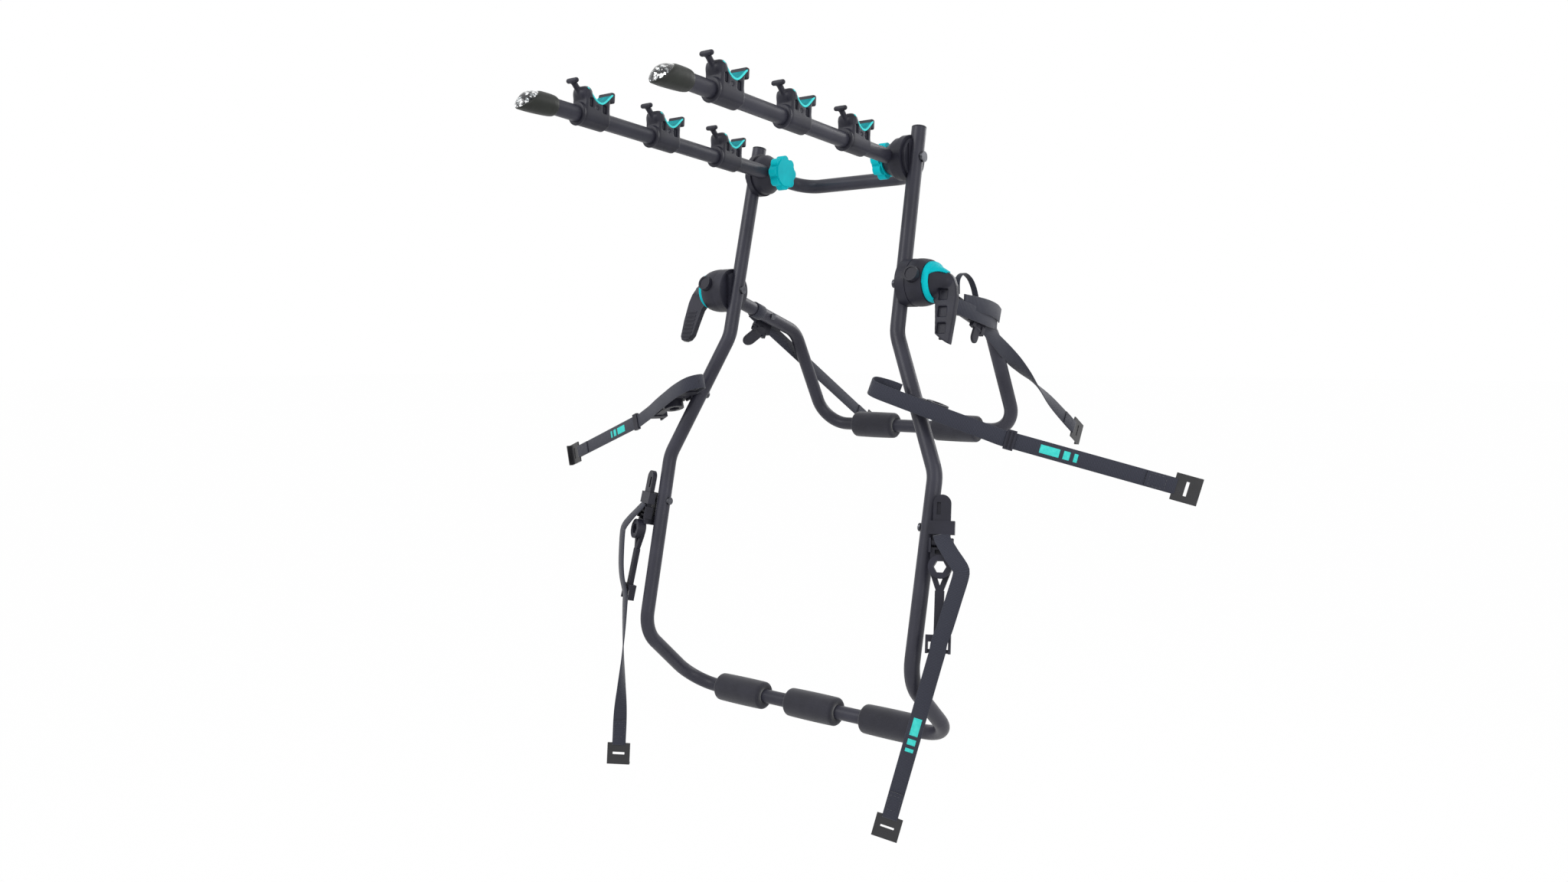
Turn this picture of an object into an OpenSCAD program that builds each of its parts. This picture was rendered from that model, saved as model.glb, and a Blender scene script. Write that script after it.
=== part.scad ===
// Trunk-mounted bike rack for three bikes, as it stands when strapped to a car.
// The origin is the middle of the bottom cross tube, which rests on the bumper.
// X runs across the car, +Y points at the car and +Z is up.

/* [Tube] */
// Outside diameter of the frame tubes
tube_d = 25; // [20:0.5:32]
// Wall thickness of the frame tubes
tube_wall = 1.5; // [1:0.1:3]
// Centreline radius of the frame bends
bend_r = 60; // [45:1:80]

/* [Main frame] */
// Lean of the uprights toward the car, in degrees
lean = 12.5; // [6:0.5:18]
// Half the spacing of the uprights at their tops
half_top = 172; // [165:1:180]
// Half the spacing of the uprights at the upper knees
half_knee = 180; // [172:1:190]
// Half the spacing of the lower straights
half_low = 284; // [260:1:310]
// Length of the upper straights
len_top = 350; // [320:1:400]
// Length of the splayed part, measured up the lean
len_splay = 225; // [190:1:260]
// Length of the lower straights
len_low = 325; // [300:1:360]
// Length of the feet that reach toward the car
foot_len = 180; // [150:1:220]
// Slope of the feet below level, in degrees
foot_drop = 42; // [30:1:50]

/* [Arms] */
// Half the spacing of the two arms
arm_half = 135; // [125:1:138]
// Distance of the arm pivot below the top of the uprights
pivot_down = 50; // [46:1:70]
// Rise of the arms toward their tips, in degrees
arm_rise = 4.5; // [0:0.5:12]
// Length of an arm from the pivot to the end of its tube
arm_len = 541; // [530:1:640]
// Distance of the arm crossbar behind the pivot
bar_back = 82; // [76:1:110]
// Drop of the arm crossbar below the pivot
bar_drop = 17; // [8:1:30]
// Centreline radius of the arm corners
arm_bend_r = 50; // [42:1:56]

/* [Cradles] */
// Distance of the first cradle from the pivot
cradle_first = 104; // [98:1:120]
// Distance of the last cradle from the end of the arm's tube
cradle_end = 121; // [112:1:130]
// Width of a cradle across the arm
cradle_w = 30; // [26:1:36]
// Thickness of the rubber saddle pad
pad_t = 4; // [2.5:0.5:5]

/* [Hubs] */
// Outside radius of the hub discs
hub_r = 39; // [34:0.5:42]
// Distance of the support pivot above the upper knees
mid_up = 85; // [75:1:120]
// Radius of the star knobs
knob_r = 30.5; // [26:0.5:34]
// Radius of the pivot bolts
bolt_r = 4; // [3:0.5:5]
// Hanging angle of the left clamp lever, in degrees
lever_tilt_left = -22; // [-30:1:10]
// Hanging angle of the right clamp lever, in degrees
lever_tilt_right = -12; // [-30:1:10]
// Length of a clamp lever from its axis
lever_len = 99; // [80:1:110]
// Travel of the lock buttons
button_travel = 4; // [2:0.5:5]

/* [Support frame] */
// Half the spacing of the support legs
leg_half = 219; // [217:1:224]
// Length of a support leg from the pivot to its knee
leg_len = 238; // [210:1:270]
// Slope of the leg below level, in degrees
leg_drop = 17.5; // [10:0.5:25]
// Length of the lower part of a leg
shin_len = 213; // [190:1:240]
// Slope of the lower part below level, in degrees
shin_drop = 61; // [50:1:70]

/* [Foam] */
// Outside diameter of the foam sleeves
foam_d = 50; // [42:1:60]
// Length of the bumper sleeves
roller_len = 105; // [80:1:110]
// Spacing of the bumper sleeves
roller_pitch = 163; // [150:1:175]
// Length of the support sleeves
sleeve_len = 93; // [70:1:110]
// Spacing of the support sleeves
sleeve_pitch = 186; // [170:1:200]

/* [Straps] */
// Width of the webbing
web_w = 25; // [20:1:30]
// Thickness of the webbing
web_t = 2; // [1.5:0.1:3]
// Width of a strap hook plate
hook_w = 42; // [36:1:50]
// Length of a strap hook plate
hook_len = 40; // [34:1:50]

/* [Fits] */
// Gap between pieces that are fixed together
fit_gap = 0.05; // [0.02:0.01:0.15]
// Radial gap of a turning fit
turn_gap = 0.08; // [0.04:0.01:0.1]
// Gap between faces that move past each other
move_gap = 0.4; // [0.3:0.1:1]

/* [Hidden] */
$fn = 64;
tube_r = tube_d / 2;
bore_r = tube_r + fit_gap;
// The bends are drawn a hair thinner than the straights, which run a little way onto them.
bend_step = 0.05;
seam = 0.6;
foot_y = -foot_len * cos(foot_drop);
foot_z = foot_len * sin(foot_drop);
s_knee = len_low + len_splay;
s_top = s_knee + len_top;
s_pivot = s_top - pivot_down;
s_mid = s_knee + mid_up;
function upright_half(s) = half_knee + (half_top - half_knee) * (s - s_knee) / len_top;
function splay_half(s) = half_low + (half_knee - half_low) * (s - len_low) / len_splay;
function on_lean(x, s) = [x, foot_y + s * sin(lean), foot_z + s * cos(lean)];
function flip(p, side) = [side * p.x, p.y, p.z];
function unit(v) = v / norm(v);
function both_sides(p) = concat(
    [for (q = p) q],
    [for (i = [len(p) - 1:-1:0]) flip(p[i], -1)]
);

main_half_pts = [
    on_lean(half_top, s_top),
    on_lean(half_knee, s_knee),
    on_lean(half_low, len_low),
    [half_low, foot_y, foot_z],
    [half_low, 0, 0]
];
main_pts = both_sides(main_half_pts);

pivot = on_lean(upright_half(s_pivot), s_pivot);
arm_dir = [0, -cos(arm_rise), sin(arm_rise)];
arm_gap = pivot.x - arm_half;
arm_root = [arm_half, pivot.y, pivot.z];
kink_back = 20;
arm_half_pts = [
    arm_root + arm_dir * arm_len,
    arm_root - arm_dir * kink_back,
    [arm_half, pivot.y + bar_back, pivot.z - bar_drop]
];
arm_pts = both_sides(arm_half_pts);
cradle_pitch = (arm_len - cradle_first - cradle_end) / 2;

mid = on_lean(upright_half(s_mid), s_mid);
leg_dir = [0, cos(leg_drop), -sin(leg_drop)];
leg_root = [leg_half, mid.y, mid.z];
leg_start = 17;
leg_knee = leg_root + leg_dir * leg_len;
leg_foot = leg_knee + [0, cos(shin_drop), -sin(shin_drop)] * shin_len;
support_half_pts = [leg_root + leg_dir * leg_start, leg_knee, leg_foot];
support_pts = both_sides(support_half_pts);

// Hub stack, measured along X from the upright's centreline.
top_split = arm_gap - tube_r - 6.5;
arm_hub_end = arm_gap + tube_r + 2;
knob_start = arm_hub_end + move_gap;
knob_t = 20;
mid_split = leg_half - mid.x - tube_r - 1;
swing_end = leg_half - mid.x + tube_r + 2.5;
ring_t = 5;
ring_r = hub_r - 5.5;
visor_t = 4.5;
visor_reach = 11;
lever_start = swing_end + ring_t + move_gap;
lever_w = 34;
grip_w = 20;
lever_t = 15;
lever_hub_r = ring_r - visor_t - move_gap;
barrel_r = 60;
moon_depth = 2;
button_r = 12.8;
button_up = 17;
button_x = mid.x + (mid_split + swing_end) / 2;
button_in = 25;
button_out = hub_r + 7;
// Bolt heads stand off far enough to clear the slight slant of the uprights.
head_seat = tube_r + 2.2 * bolt_r * (half_knee - half_top) / len_top + fit_gap;

// Arm end cap: outside radius, length, slope of its cut face and depth of the tube in it.
cap_r = 16.5;
cap_len = 71;
cap_slope = 52;
cap_seat = 24;

// Cradle side profile: Y runs along the arm toward the pivot, Z is up from the arm's axis.
saddle = [
    [-33, 45.5], [-27, 42], [-20, 37], [-12, 33], [-5, 31.2], [2, 31.4],
    [8, 34], [14, 39], [19, 44], [23, 46.5]
];
saddle_floor = [for (q = saddle) [q.x, q.y - pad_t - fit_gap]];
tower = [-44.5, 35.5];
tower_r = 12.5;
collar_r = tube_r + 4;
collar_back = -61;
collar_front = 15;
peg_root = [-46, 30];
peg_tip = [-60, 44];

// Strap routes in round numbers: where the webbing leaves its anchor and where its hook ends.
s_side = 443;
side_pt = on_lean(splay_half(s_side), s_side);
side_axis = unit(main_half_pts[1] - main_half_pts[2]);
side_end_right = [640, 105, 418];
side_end_left = [-665, 35, 410];
side_ring = [280, -59, 536];
side_z = unit([-0.88, -0.34, 0.34]);
side_x = unit(cross([0, 0, -1], side_z));
side_y = cross(side_z, side_x);
side_bar_z = -95;
// Slack webbing beside the ratchet, in the ratchet's own frame.
side_slack = [[-22, 0, 104], [-26, 0, 60], [-25, 0, 0], [-20.6, 0, -64], [-20.8, 0, -112]];
// Slack webbing in front of the lower ratchet, in the ratchet's own frame.
lower_slack = [
    [24, -16, 18], [44, -22, -4], [38, -22, -52], [12, -13, -95], [0, -8.2, -112], [0, -4.4, -127]
];
lower_end_right = [240, -136, -135];
lower_end_left = [-341, -150, -136];
// Direction across the webbing along the lower runs, in degrees from X: share of the run, then angle.
lower_turn_right = [[1, 25]];
lower_turn_left = [[0.2, 146], [0.4, 128], [0.6, 98], [0.78, 62], [0.92, 38], [1, 38]];
upper_end = [245, 556, 464];
upper_loop = 112;
upper_start = leg_root + leg_dir * upper_loop + [tube_r + fit_gap + web_t + 0.5, 0, 0];
upper_len = norm(upper_end - upper_start);
tab_pin = [-19.5, 5.5];
s_tension = 240;
tension_pt = [half_low, foot_y + s_tension * sin(lean), foot_z + s_tension * cos(lean)];
tension_out = 36;
tension_turn = 25;
tension_at = tension_pt + [tension_out, -24, -54];
tension_x = [cos(tension_turn), sin(tension_turn), 0];
tension_y = [-sin(tension_turn) * cos(lean), cos(tension_turn) * cos(lean), -sin(lean)];
tension_z = cross(tension_x, tension_y);
wheel_r = 18;
strap_bar_r = 3;
strap_bar_z = -127;
handle_y = 2;
handle_z = 37;
handle_len = 74;
handle_w = 27;
keeper_z = 12.5;
keeper_h = 21;
keeper_wide = 40;
keeper_slim = 31;

// Puts the children's +Z along the line from a to b, starting at a.
module along(a, b) {
    d = b - a;
    translate(a)
        rotate([0, acos(d.z / norm(d)), atan2(d.y, d.x)])
            children();
}

// Keeps the right-hand side as drawn, or mirrors it to the left.
module on_side(side) {
    if (side > 0) children();
    else mirror([1, 0, 0]) children();
}

module cyl_x(x0, x1, r) {
    translate([x0, 0, 0])
        rotate([0, 90, 0])
            cylinder(h = x1 - x0, r = r);
}

module cone_x(x0, x1, r0, r1) {
    translate([x0, 0, 0])
        rotate([0, 90, 0])
            cylinder(h = x1 - x0, r1 = r0, r2 = r1);
}

function turn_at(p, i) =
    acos(unit(p[i] - p[i - 1]) * unit(p[i + 1] - p[i]));
function setback(p, r, i) =
    i == 0 || i == len(p) - 1 ? 0 : r[i] * tan(turn_at(p, i) / 2);

// One bend of a tube path, swept about its own centre.
module tube_bend(p, r, i, radius) {
    u = unit(p[i] - p[i - 1]);
    w = unit(p[i + 1] - p[i]);
    t = turn_at(p, i);
    c = p[i] + unit(w - u) * r[i] / cos(t / 2);
    ex = unit(p[i] - u * setback(p, r, i) - c);
    ez = cross(ex, u);
    multmatrix([
        [ex.x, u.x, ez.x, c.x],
        [ex.y, u.y, ez.y, c.y],
        [ex.z, u.z, ez.z, c.z],
        [0, 0, 0, 1]
    ])
        rotate_extrude(angle = t)
            translate([r[i], 0])
                circle(r = radius - bend_step);
}

module path_solid(p, r, radius) {
    for (i = [0:len(p) - 2]) {
        d = unit(p[i + 1] - p[i]);
        a = p[i] + d * max(0, setback(p, r, i) - seam);
        b = p[i + 1] - d * max(0, setback(p, r, i + 1) - seam);
        along(a, b)
            cylinder(h = norm(b - a), r = radius);
    }
    for (i = [1:len(p) - 2])
        tube_bend(p, r, i, radius);
}

module bent_tube(p, r) {
    difference() {
        path_solid(p, r, tube_r);
        path_solid(p, r, tube_r - tube_wall);
    }
}

function radii(p, inner) = [for (i = [0:len(p) - 1]) inner];

module upright_hole(side, s, r) {
    translate(on_lean(side * upright_half(s), s))
        cyl_x(-tube_d, tube_d, r);
}

module main_frame() {
    color("#2b2b30")
        difference() {
            bent_tube(main_pts, radii(main_pts, bend_r));
            for (side = [-1, 1]) {
                upright_hole(side, s_pivot, bolt_r + fit_gap);
                upright_hole(side, s_mid, bolt_r + fit_gap);
                translate(flip(tension_pt, side))
                    cyl_x(-tube_d, tube_d, bolt_r + fit_gap);
                on_side(side)
                    side_bolt_shape(bolt_r + fit_gap, -tube_d, tube_d);
            }
        }
}

module frame_plugs() {
    color("#1d1d20")
        for (side = [-1, 1])
            along(flip(main_half_pts[0], side), flip(2 * main_half_pts[0] - main_half_pts[1], side)) {
                translate([0, 0, fit_gap])
                    cylinder(h = 2.5, r = tube_r);
                translate([0, 0, -12])
                    cylinder(h = 13, r = tube_r - tube_wall - fit_gap);
            }
}

module foam_sleeve(length) {
    difference() {
        cyl_x(-length / 2, length / 2, foam_d / 2);
        cyl_x(-length, length, bore_r);
    }
}

module roller(i) {
    color("#303036")
        translate([i * roller_pitch, 0, 0])
            foam_sleeve(roller_len);
}

// Fixed half of the arm pivot: a disc that cups the inner side of the upright.
module top_hub(side) {
    color("#26262a")
        on_side(side)
            difference() {
                translate(pivot) {
                    cyl_x(-top_split, -tube_r + 4, hub_r - 1);
                    cyl_x(-top_split, -3, hub_r - 7);
                }
                along(main_half_pts[1], main_half_pts[0])
                    cylinder(h = len_top + 20, r = bore_r);
                translate(pivot) {
                    cyl_x(-2 * top_split, 0, bolt_r + fit_gap);
                    half_moon(-3 - moon_depth, 1, hub_r - 10);
                }
            }
}

// Half-moon recess in the face of a hub disc, on the side away from the car.
module half_moon(x0, x1, r) {
    intersection() {
        cyl_x(x0, x1, r);
        translate([x0 - 1, -2 * r, -2 * r])
            cube([x1 - x0 + 2, 2 * r - tube_r - 5, 4 * r]);
    }
}

module pivot_bolts() {
    color("#8d8f94")
        for (side = [-1, 1])
            on_side(side)
                translate(pivot) {
                    cyl_x(-knob_start - knob_t + 5, tube_r, bolt_r);
                    cyl_x(head_seat, head_seat + 4, 2.2 * bolt_r);
                    cyl_x(tube_r - 1, tube_r + 1, bolt_r);
                }
}

// Moving half of the arm pivot: it wraps the arm tube and tapers to the knob's seat.
module arm_hub(side) {
    color("#26262a")
        on_side(side)
            difference() {
                translate(pivot) {
                    cyl_x(7 - arm_gap, -top_split - move_gap, hub_r - 4);
                    cone_x(-arm_hub_end, 7 - arm_gap, 22, hub_r - 4);
                }
                along(arm_root + arm_dir * 90, arm_root)
                    cylinder(h = 150, r = bore_r);
                on_arm(1, -14)
                    translate([-bore_r - 0.3, 0, -bore_r - 4])
                        cube([2 * bore_r + 0.6, 60, bore_r + 4]);
                translate(pivot)
                    cyl_x(-2 * arm_hub_end, 0, bolt_r + turn_gap);
            }
}

module arm_tube() {
    r = [0, 45, arm_bend_r, arm_bend_r, 45, 0];
    color("#2b2b30")
        difference() {
            bent_tube(arm_pts, r);
            for (side = [-1, 1])
                translate(flip(arm_root, side))
                    cyl_x(-tube_d, tube_d, bolt_r + turn_gap);
        }
}

// Arm frame: origin on the arm's axis at the pivot, -Y toward the tip, Z square to the arm.
module on_arm(side, dist) {
    translate(flip(arm_root, side))
        rotate([-arm_rise, 0, 0])
            translate([0, -dist, 0])
                children();
}

module cyl_y(y0, y1, r) {
    translate([0, y0, 0])
        rotate([-90, 0, 0])
            cylinder(h = y1 - y0, r = r);
}

// Half-space in front of the slanted end of a cap, moved forward by d.
module cap_front(d) {
    translate([0, -cap_len, -cap_r])
        rotate([-cap_slope, 0, 0])
            translate([-50, -100 - d, -60])
                cube([100, 100, 200]);
}

module end_cap(side) {
    color("#22261f")
        on_arm(side, arm_len - cap_seat)
            difference() {
                union() {
                    cyl_y(-cap_len - 2, 0, cap_r);
                    translate([0, -30, -cap_r + 1])
                        cyl_y(-6, 6, 4);
                }
                cyl_y(-cap_seat - fit_gap, 1, bore_r);
                cap_front(0);
                intersection() {
                    cyl_y(-cap_len - 4, 0, cap_r - 2);
                    cap_front(-3);
                }
            }
}

module reflector(side) {
    color("#d9dcde")
        on_arm(side, arm_len - cap_seat)
            difference() {
                intersection() {
                    cyl_y(-cap_len - 2, 0, cap_r - 2 - fit_gap);
                    cap_front(-3 + fit_gap);
                }
                cap_front(0.8);
            }
}

module profile_x(points, width) {
    rotate([90, 0, 90])
        linear_extrude(height = width, center = true)
            polygon(points);
}

module cradle(side, i) {
    body = concat(
        [[18, 5], [18, 27], [27, 35], [27, 32], [33, 32], [33, 46], [30, 49], [25, 49]],
        [for (j = [len(saddle_floor) - 1:-1:0]) saddle_floor[j]],
        [[tower.x, tower.y], [tower.x - tower_r + 0.5, tower.y], [tower.x - tower_r + 0.5, 5]]
    );
    color("#26262a")
        on_arm(side, cradle_first + i * cradle_pitch)
            difference() {
                union() {
                    cyl_y(collar_back, collar_front, collar_r);
                    cyl_y(collar_back, collar_back + 4, collar_r + 1.5);
                    profile_x(body, cradle_w);
                    translate([0, tower.x, tower.y])
                        cyl_x(-cradle_w / 2, cradle_w / 2, tower_r);
                    along([0, peg_root.x, peg_root.y], [0, peg_tip.x, peg_tip.y])
                        cylinder(h = norm(peg_tip - peg_root), r = 4.5);
                    translate([0, peg_tip.x, peg_tip.y])
                        cyl_x(-11, 11, 4);
                }
                cyl_y(-100, 100, bore_r);
                translate([0, -5, 21])
                    cyl_x(cradle_w / 2 - 4, cradle_w, 3.2);
                for (face = [-1, 1], y = [-26, 4])
                    translate([face * cradle_w / 2 - 2, y, 18])
                        cube([4, 9, 11]);
            }
}

module saddles(side) {
    pad = concat(
        saddle,
        [for (j = [len(saddle) - 1:-1:0]) [saddle[j].x, saddle[j].y - pad_t]]
    );
    color("#16b5b8")
        for (i = [0:2])
            on_arm(side, cradle_first + i * cradle_pitch)
                profile_x(pad, cradle_w + 1);
}

module cradle_screws() {
    color("#55575c")
        for (side = [-1, 1])
            for (i = [0:2])
                on_arm(side, cradle_first + i * cradle_pitch)
                    translate([0, -5, 21])
                        cyl_x(cradle_w / 2 - 4 + fit_gap, cradle_w / 2 - 0.5, 3.2 - fit_gap);
}

// Eight-lobed star knob with a blind bore for the pivot bolt.
module knob(side) {
    lobe_r = 9;
    color("#16b5b8")
        on_side(side)
            translate(pivot)
                difference() {
                    union() {
                        cyl_x(-knob_start - knob_t, -knob_start, knob_r - 6);
                        for (a = [0:45:315])
                            rotate([a, 0, 0])
                                translate([0, 0, knob_r - lobe_r])
                                    cyl_x(-knob_start - knob_t + 2, -knob_start - 3, lobe_r);
                    }
                    cyl_x(-knob_start - knob_t + 4, 0, bolt_r + turn_gap);
                }
}

// Fixed half of the support pivot: a disc that cups the outer side of the upright.
module mid_hub(side) {
    color("#26262a")
        on_side(side)
            difference() {
                translate(mid) {
                    cyl_x(tube_r - 4, mid_split - move_gap, hub_r);
                    cyl_x(2, tube_r, hub_r - 7);
                }
                along(main_half_pts[1], main_half_pts[0])
                    cylinder(h = len_top, r = bore_r);
                translate(mid) {
                    cyl_x(0, 3 * hub_r, bolt_r + fit_gap);
                    half_moon(0, tube_r - 4 + moon_depth, hub_r - 4);
                }
            }
}

module mid_bolts() {
    color("#8d8f94")
        for (side = [-1, 1])
            on_side(side)
                translate(mid) {
                    cyl_x(-tube_r - 1, lever_start + lever_w - 5, bolt_r);
                    cyl_x(-head_seat - 4, -head_seat, 1.8 * bolt_r);
                }
}

// Turning half of the support pivot: it holds the leg's end and the lock button.
module swing_hub(side) {
    color("#26262a")
        on_side(side)
            difference() {
                translate(mid)
                    barrel_x(mid_split, swing_end, hub_r, mid_split + 9);
                along(leg_root + leg_dir * (leg_start - fit_gap), leg_knee)
                    cylinder(h = 100, r = bore_r);
                translate(mid)
                    cyl_x(0, 3 * hub_r, bolt_r + turn_gap);
                button_shape(button_r + move_gap, button_in - button_travel - 1, 2 * hub_r);
            }
}

// Barrel about X between x0 and x1: its widest radius r lies at xc.
module barrel_x(x0, x1, r, xc) {
    rotate([90, 0, 90])
        rotate_extrude()
            intersection() {
                translate([0, x0])
                    square([2 * r, x1 - x0]);
                translate([r - barrel_r, xc])
                    circle(r = barrel_r);
            }
}

// Round body along the lock button's axis, between two distances from the pivot.
module button_shape(r, d0, d1) {
    translate([button_x, leg_root.y, leg_root.z])
        rotate([90 - button_up, 0, 0])
            translate([0, 0, d0])
                cylinder(h = d1 - d0, r = r);
}

module button(side) {
    color("#1f1f23")
        on_side(side)
            difference() {
                button_shape(button_r, button_in, button_out);
                button_shape(button_r - 3, button_out - 1.2, button_out + 1);
            }
}

// Lock ring: a disc behind the lever with a visor that reaches over the lever's hub at the top.
module lock_ring(side) {
    top = swing_end + ring_t + visor_reach;
    color("#16b5b8")
        on_side(side)
            translate(mid)
                difference() {
                    union() {
                        cyl_x(swing_end + fit_gap, swing_end + ring_t, ring_r);
                        difference() {
                            cyl_x(swing_end + 1, top, ring_r);
                            cyl_x(swing_end + ring_t, top + 1, ring_r - visor_t);
                            translate([swing_end + ring_t, 0, 0])
                                rotate([0, -atan(ring_r / visor_reach), 0])
                                    translate([-3 * hub_r, -2 * hub_r, -4 * hub_r])
                                        cube([6 * hub_r, 4 * hub_r, 4 * hub_r]);
                        }
                    }
                    cyl_x(0, 3 * hub_r, bolt_r + turn_gap);
                }
}

// Clamp lever: a domed hub whose rounded elbow turns down into a flat grip with a slanted end.
// The same moulding serves both sides, so the ribbed face shows on one and the pocketed face on the other.
module lever_shape(ribs) {
    grip_x = lever_w - grip_w;
    difference() {
        intersection() {
            union() {
                barrel_x(0, lever_w, lever_hub_r, 1);
                rotate([90, 0, 0])
                    linear_extrude(height = lever_t, center = true)
                        polygon([
                            [grip_x, 0], [lever_w, 0],
                            [lever_w, -lever_len], [grip_x, -lever_len + 16]
                        ]);
                for (i = [0:5])
                    translate([grip_x + 2, -ribs * lever_t / 2, -lever_len + 22 + i * 8])
                        cyl_x(0, grip_w - 4, 1.6);
            }
            rotate([90, 0, 0])
                linear_extrude(height = 4 * hub_r, center = true) {
                    circle(r = lever_w + 1.5);
                    translate([-1, -2 * lever_len])
                        square([lever_w + 2, 2 * lever_len]);
                }
        }
        cyl_x(-1, lever_w - 4, bolt_r + turn_gap);
        for (i = [0:2])
            translate([
                grip_x + 4, ribs > 0 ? lever_t / 2 - 4 : -lever_t / 2 - 1, -lever_len + 20 + i * 18
            ])
                cube([grip_w - 8, 5, 14]);
    }
}

module lever(side, tilt) {
    color("#2a2a2f")
        on_side(side)
            translate(mid + [lever_start, 0, 0])
                rotate([tilt, 0, 0])
                    lever_shape(-side);
}

module support_frame() {
    color("#2b2b30")
        difference() {
            bent_tube(support_pts, radii(support_pts, bend_r - 5));
            for (side = [-1, 1])
                rivet_hole(side, bolt_r + fit_gap);
        }
}

module rivet_hole(side, r) {
    translate(flip(leg_root + leg_dir * 146, side))
        cyl_x(-tube_d, tube_d, r);
}

// Cross rivets behind the strap loops: a head on the inner side, flush on the outer.
module support_rivets() {
    color("#1d1d20")
        for (side = [-1, 1])
            on_side(side)
                translate(leg_root + leg_dir * 146) {
                    cyl_x(-tube_r - 1, tube_r + 0.2, bolt_r);
                    cyl_x(-tube_r - 3, -tube_r - fit_gap, 1.6 * bolt_r);
                }
}

module sleeve(side) {
    color("#303036")
        translate([side * sleeve_pitch / 2, leg_foot.y, leg_foot.z])
            foam_sleeve(sleeve_len);
}

// Strap frame: X from the anchor to the hook, Y across the webbing, Z square to it.
module on_strap(a, b, across) {
    ex = unit(b - a);
    ez = unit(cross(ex, across));
    ey = cross(ez, ex);
    multmatrix([
        [ex.x, ey.x, ez.x, a.x],
        [ex.y, ey.y, ez.y, a.y],
        [ex.z, ey.z, ez.z, a.z],
        [0, 0, 0, 1]
    ])
        children();
}

module web(x0, x1) {
    translate([x0, -web_w / 2, -web_t / 2])
        cube([x1 - x0, web_w, web_t]);
}

// Flat webbing swept along a route; each station holds a point and the direction across the webbing.
module webbing(route) {
    n = len(route);
    p = [for (r = route) r[0]];
    t = [for (i = [0:n - 1]) unit(p[min(i + 1, n - 1)] - p[i == n - 2 ? i : max(i - 1, 0)])];
    a = [for (i = [0:n - 1]) unit(route[i][1] - t[i] * (route[i][1] * t[i]))];
    polyhedron(
        points = [
            for (i = [0:n - 1], q = [[1, 1], [1, -1], [-1, -1], [-1, 1]])
                p[i] + a[i] * q.x * web_w / 2 + cross(t[i], a[i]) * q.y * web_t / 2
        ],
        faces = concat(
            [[0, 1, 2], [0, 2, 3]],
            [[4 * n - 1, 4 * n - 2, 4 * n - 3], [4 * n - 1, 4 * n - 3, 4 * n - 4]],
            [
                for (i = [0:n - 2], j = [0:3], k = [0, 1])
                    let (b = 4 * i + j, c = 4 * i + (j + 1) % 4)
                        j == 3
                            ? (k == 0 ? [b, c + 4, c] : [b, b + 4, c + 4])
                            : (k == 0 ? [b, b + 4, c] : [c, b + 4, c + 4])
            ]
        )
    );
}

function side_end(side) = side > 0 ? side_end_right : side_end_left;
function side_route(side) = [
    for (q = side_slack)
        [flip(side_ring + side_x * q.x + side_y * q.y + side_z * q.z, side), [0, 0, 1]]
];
function side_last(side) = let (r = side_route(side)) r[len(r) - 1][0];

// Hook frame at the end of a strap: X along its last run, Z square to the webbing.
module on_side_strap(side) {
    on_strap(side_last(side), side_end(side), [0, 0, 1])
        children();
}

// Side strap: a slack loop beside the ratchet, then a taut run out to the hook.
module strap_side(side) {
    r = side_route(side);
    color("#2a2b33")
        webbing(concat(r, [[hook_mouth(side_last(side), side_end(side)), [0, 0, 1]]]));
}

// Where the webbing ends inside the mouth of a hook.
function hook_mouth(a, b) = b - unit(b - a) * (hook_len - 6);

// Strap hook: a folded plate with a webbing slot, a sighting slot and a turned lip.
module hook_plate() {
    difference() {
        translate([-hook_len, -hook_w / 2, -1.5])
            cube([hook_len, hook_w, 3]);
        translate([-hook_len - 1, -web_w / 2 - move_gap, -web_t / 2 - fit_gap])
            cube([8, web_w + 2 * move_gap, web_t + 2 * fit_gap]);
        translate([-hook_len / 2 - 3, -11, -5])
            cube([5, 22, 10]);
    }
    translate([-3, -hook_w / 2, -8])
        cube([3, hook_w, 8]);
}

module hooks() {
    color("#1d1d20")
        for (side = [-1, 1]) {
            on_side_strap(side)
                translate([norm(side_end(side) - side_last(side)), 0, 0])
                    hook_plate();
            on_lower_strap(side)
                translate([norm(lower_end(side) - lower_last(side)), 0, 0])
                    hook_plate();
        }
}

// Side ratchets, each on a bracket that cups the front of the tube, and the sliders on the side straps.
module side_buckles() {
    color("#202024")
        for (side = [-1, 1]) {
            difference() {
                union() {
                    on_side_ratchet(side)
                        ratchet_body(side_bar_z);
                    on_side(side)
                        on_ratchet_axes()
                            translate([16.2, -9, 16])
                                cube([20, 11, 38]);
                }
                on_side_ratchet(side)
                    translate([0, handle_y, handle_z])
                        cyl_x(-19, 19, 2.5 + fit_gap);
                on_side(side) {
                    along(main_half_pts[2], main_half_pts[1])
                        cylinder(h = 300, r = bore_r);
                    side_bolt_shape(bolt_r + fit_gap, -40, 40);
                }
            }
            on_side_strap(side)
                translate([6, 0, 0])
                    slider();
        }
}

// Three-bar slider that the webbing runs through.
module slider() {
    difference() {
        translate([0, -web_w / 2 - 3, -3])
            cube([15, web_w + 6, 6]);
        translate([-1, -web_w / 2 - fit_gap, -web_t / 2 - fit_gap])
            cube([20, web_w + 2 * fit_gap, web_t + 2 * fit_gap]);
        for (x = [3, 9])
            translate([x, -web_w / 2, 1.5])
                cube([3, web_w, 4]);
    }
}

// Bolt through the splayed tube from behind.
module side_bolt_shape(r, d0, d1) {
    n = [0, -cos(lean), sin(lean)];
    along(side_pt + n * d0, side_pt + n * d1)
        cylinder(h = d1 - d0, r = r);
}

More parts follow.
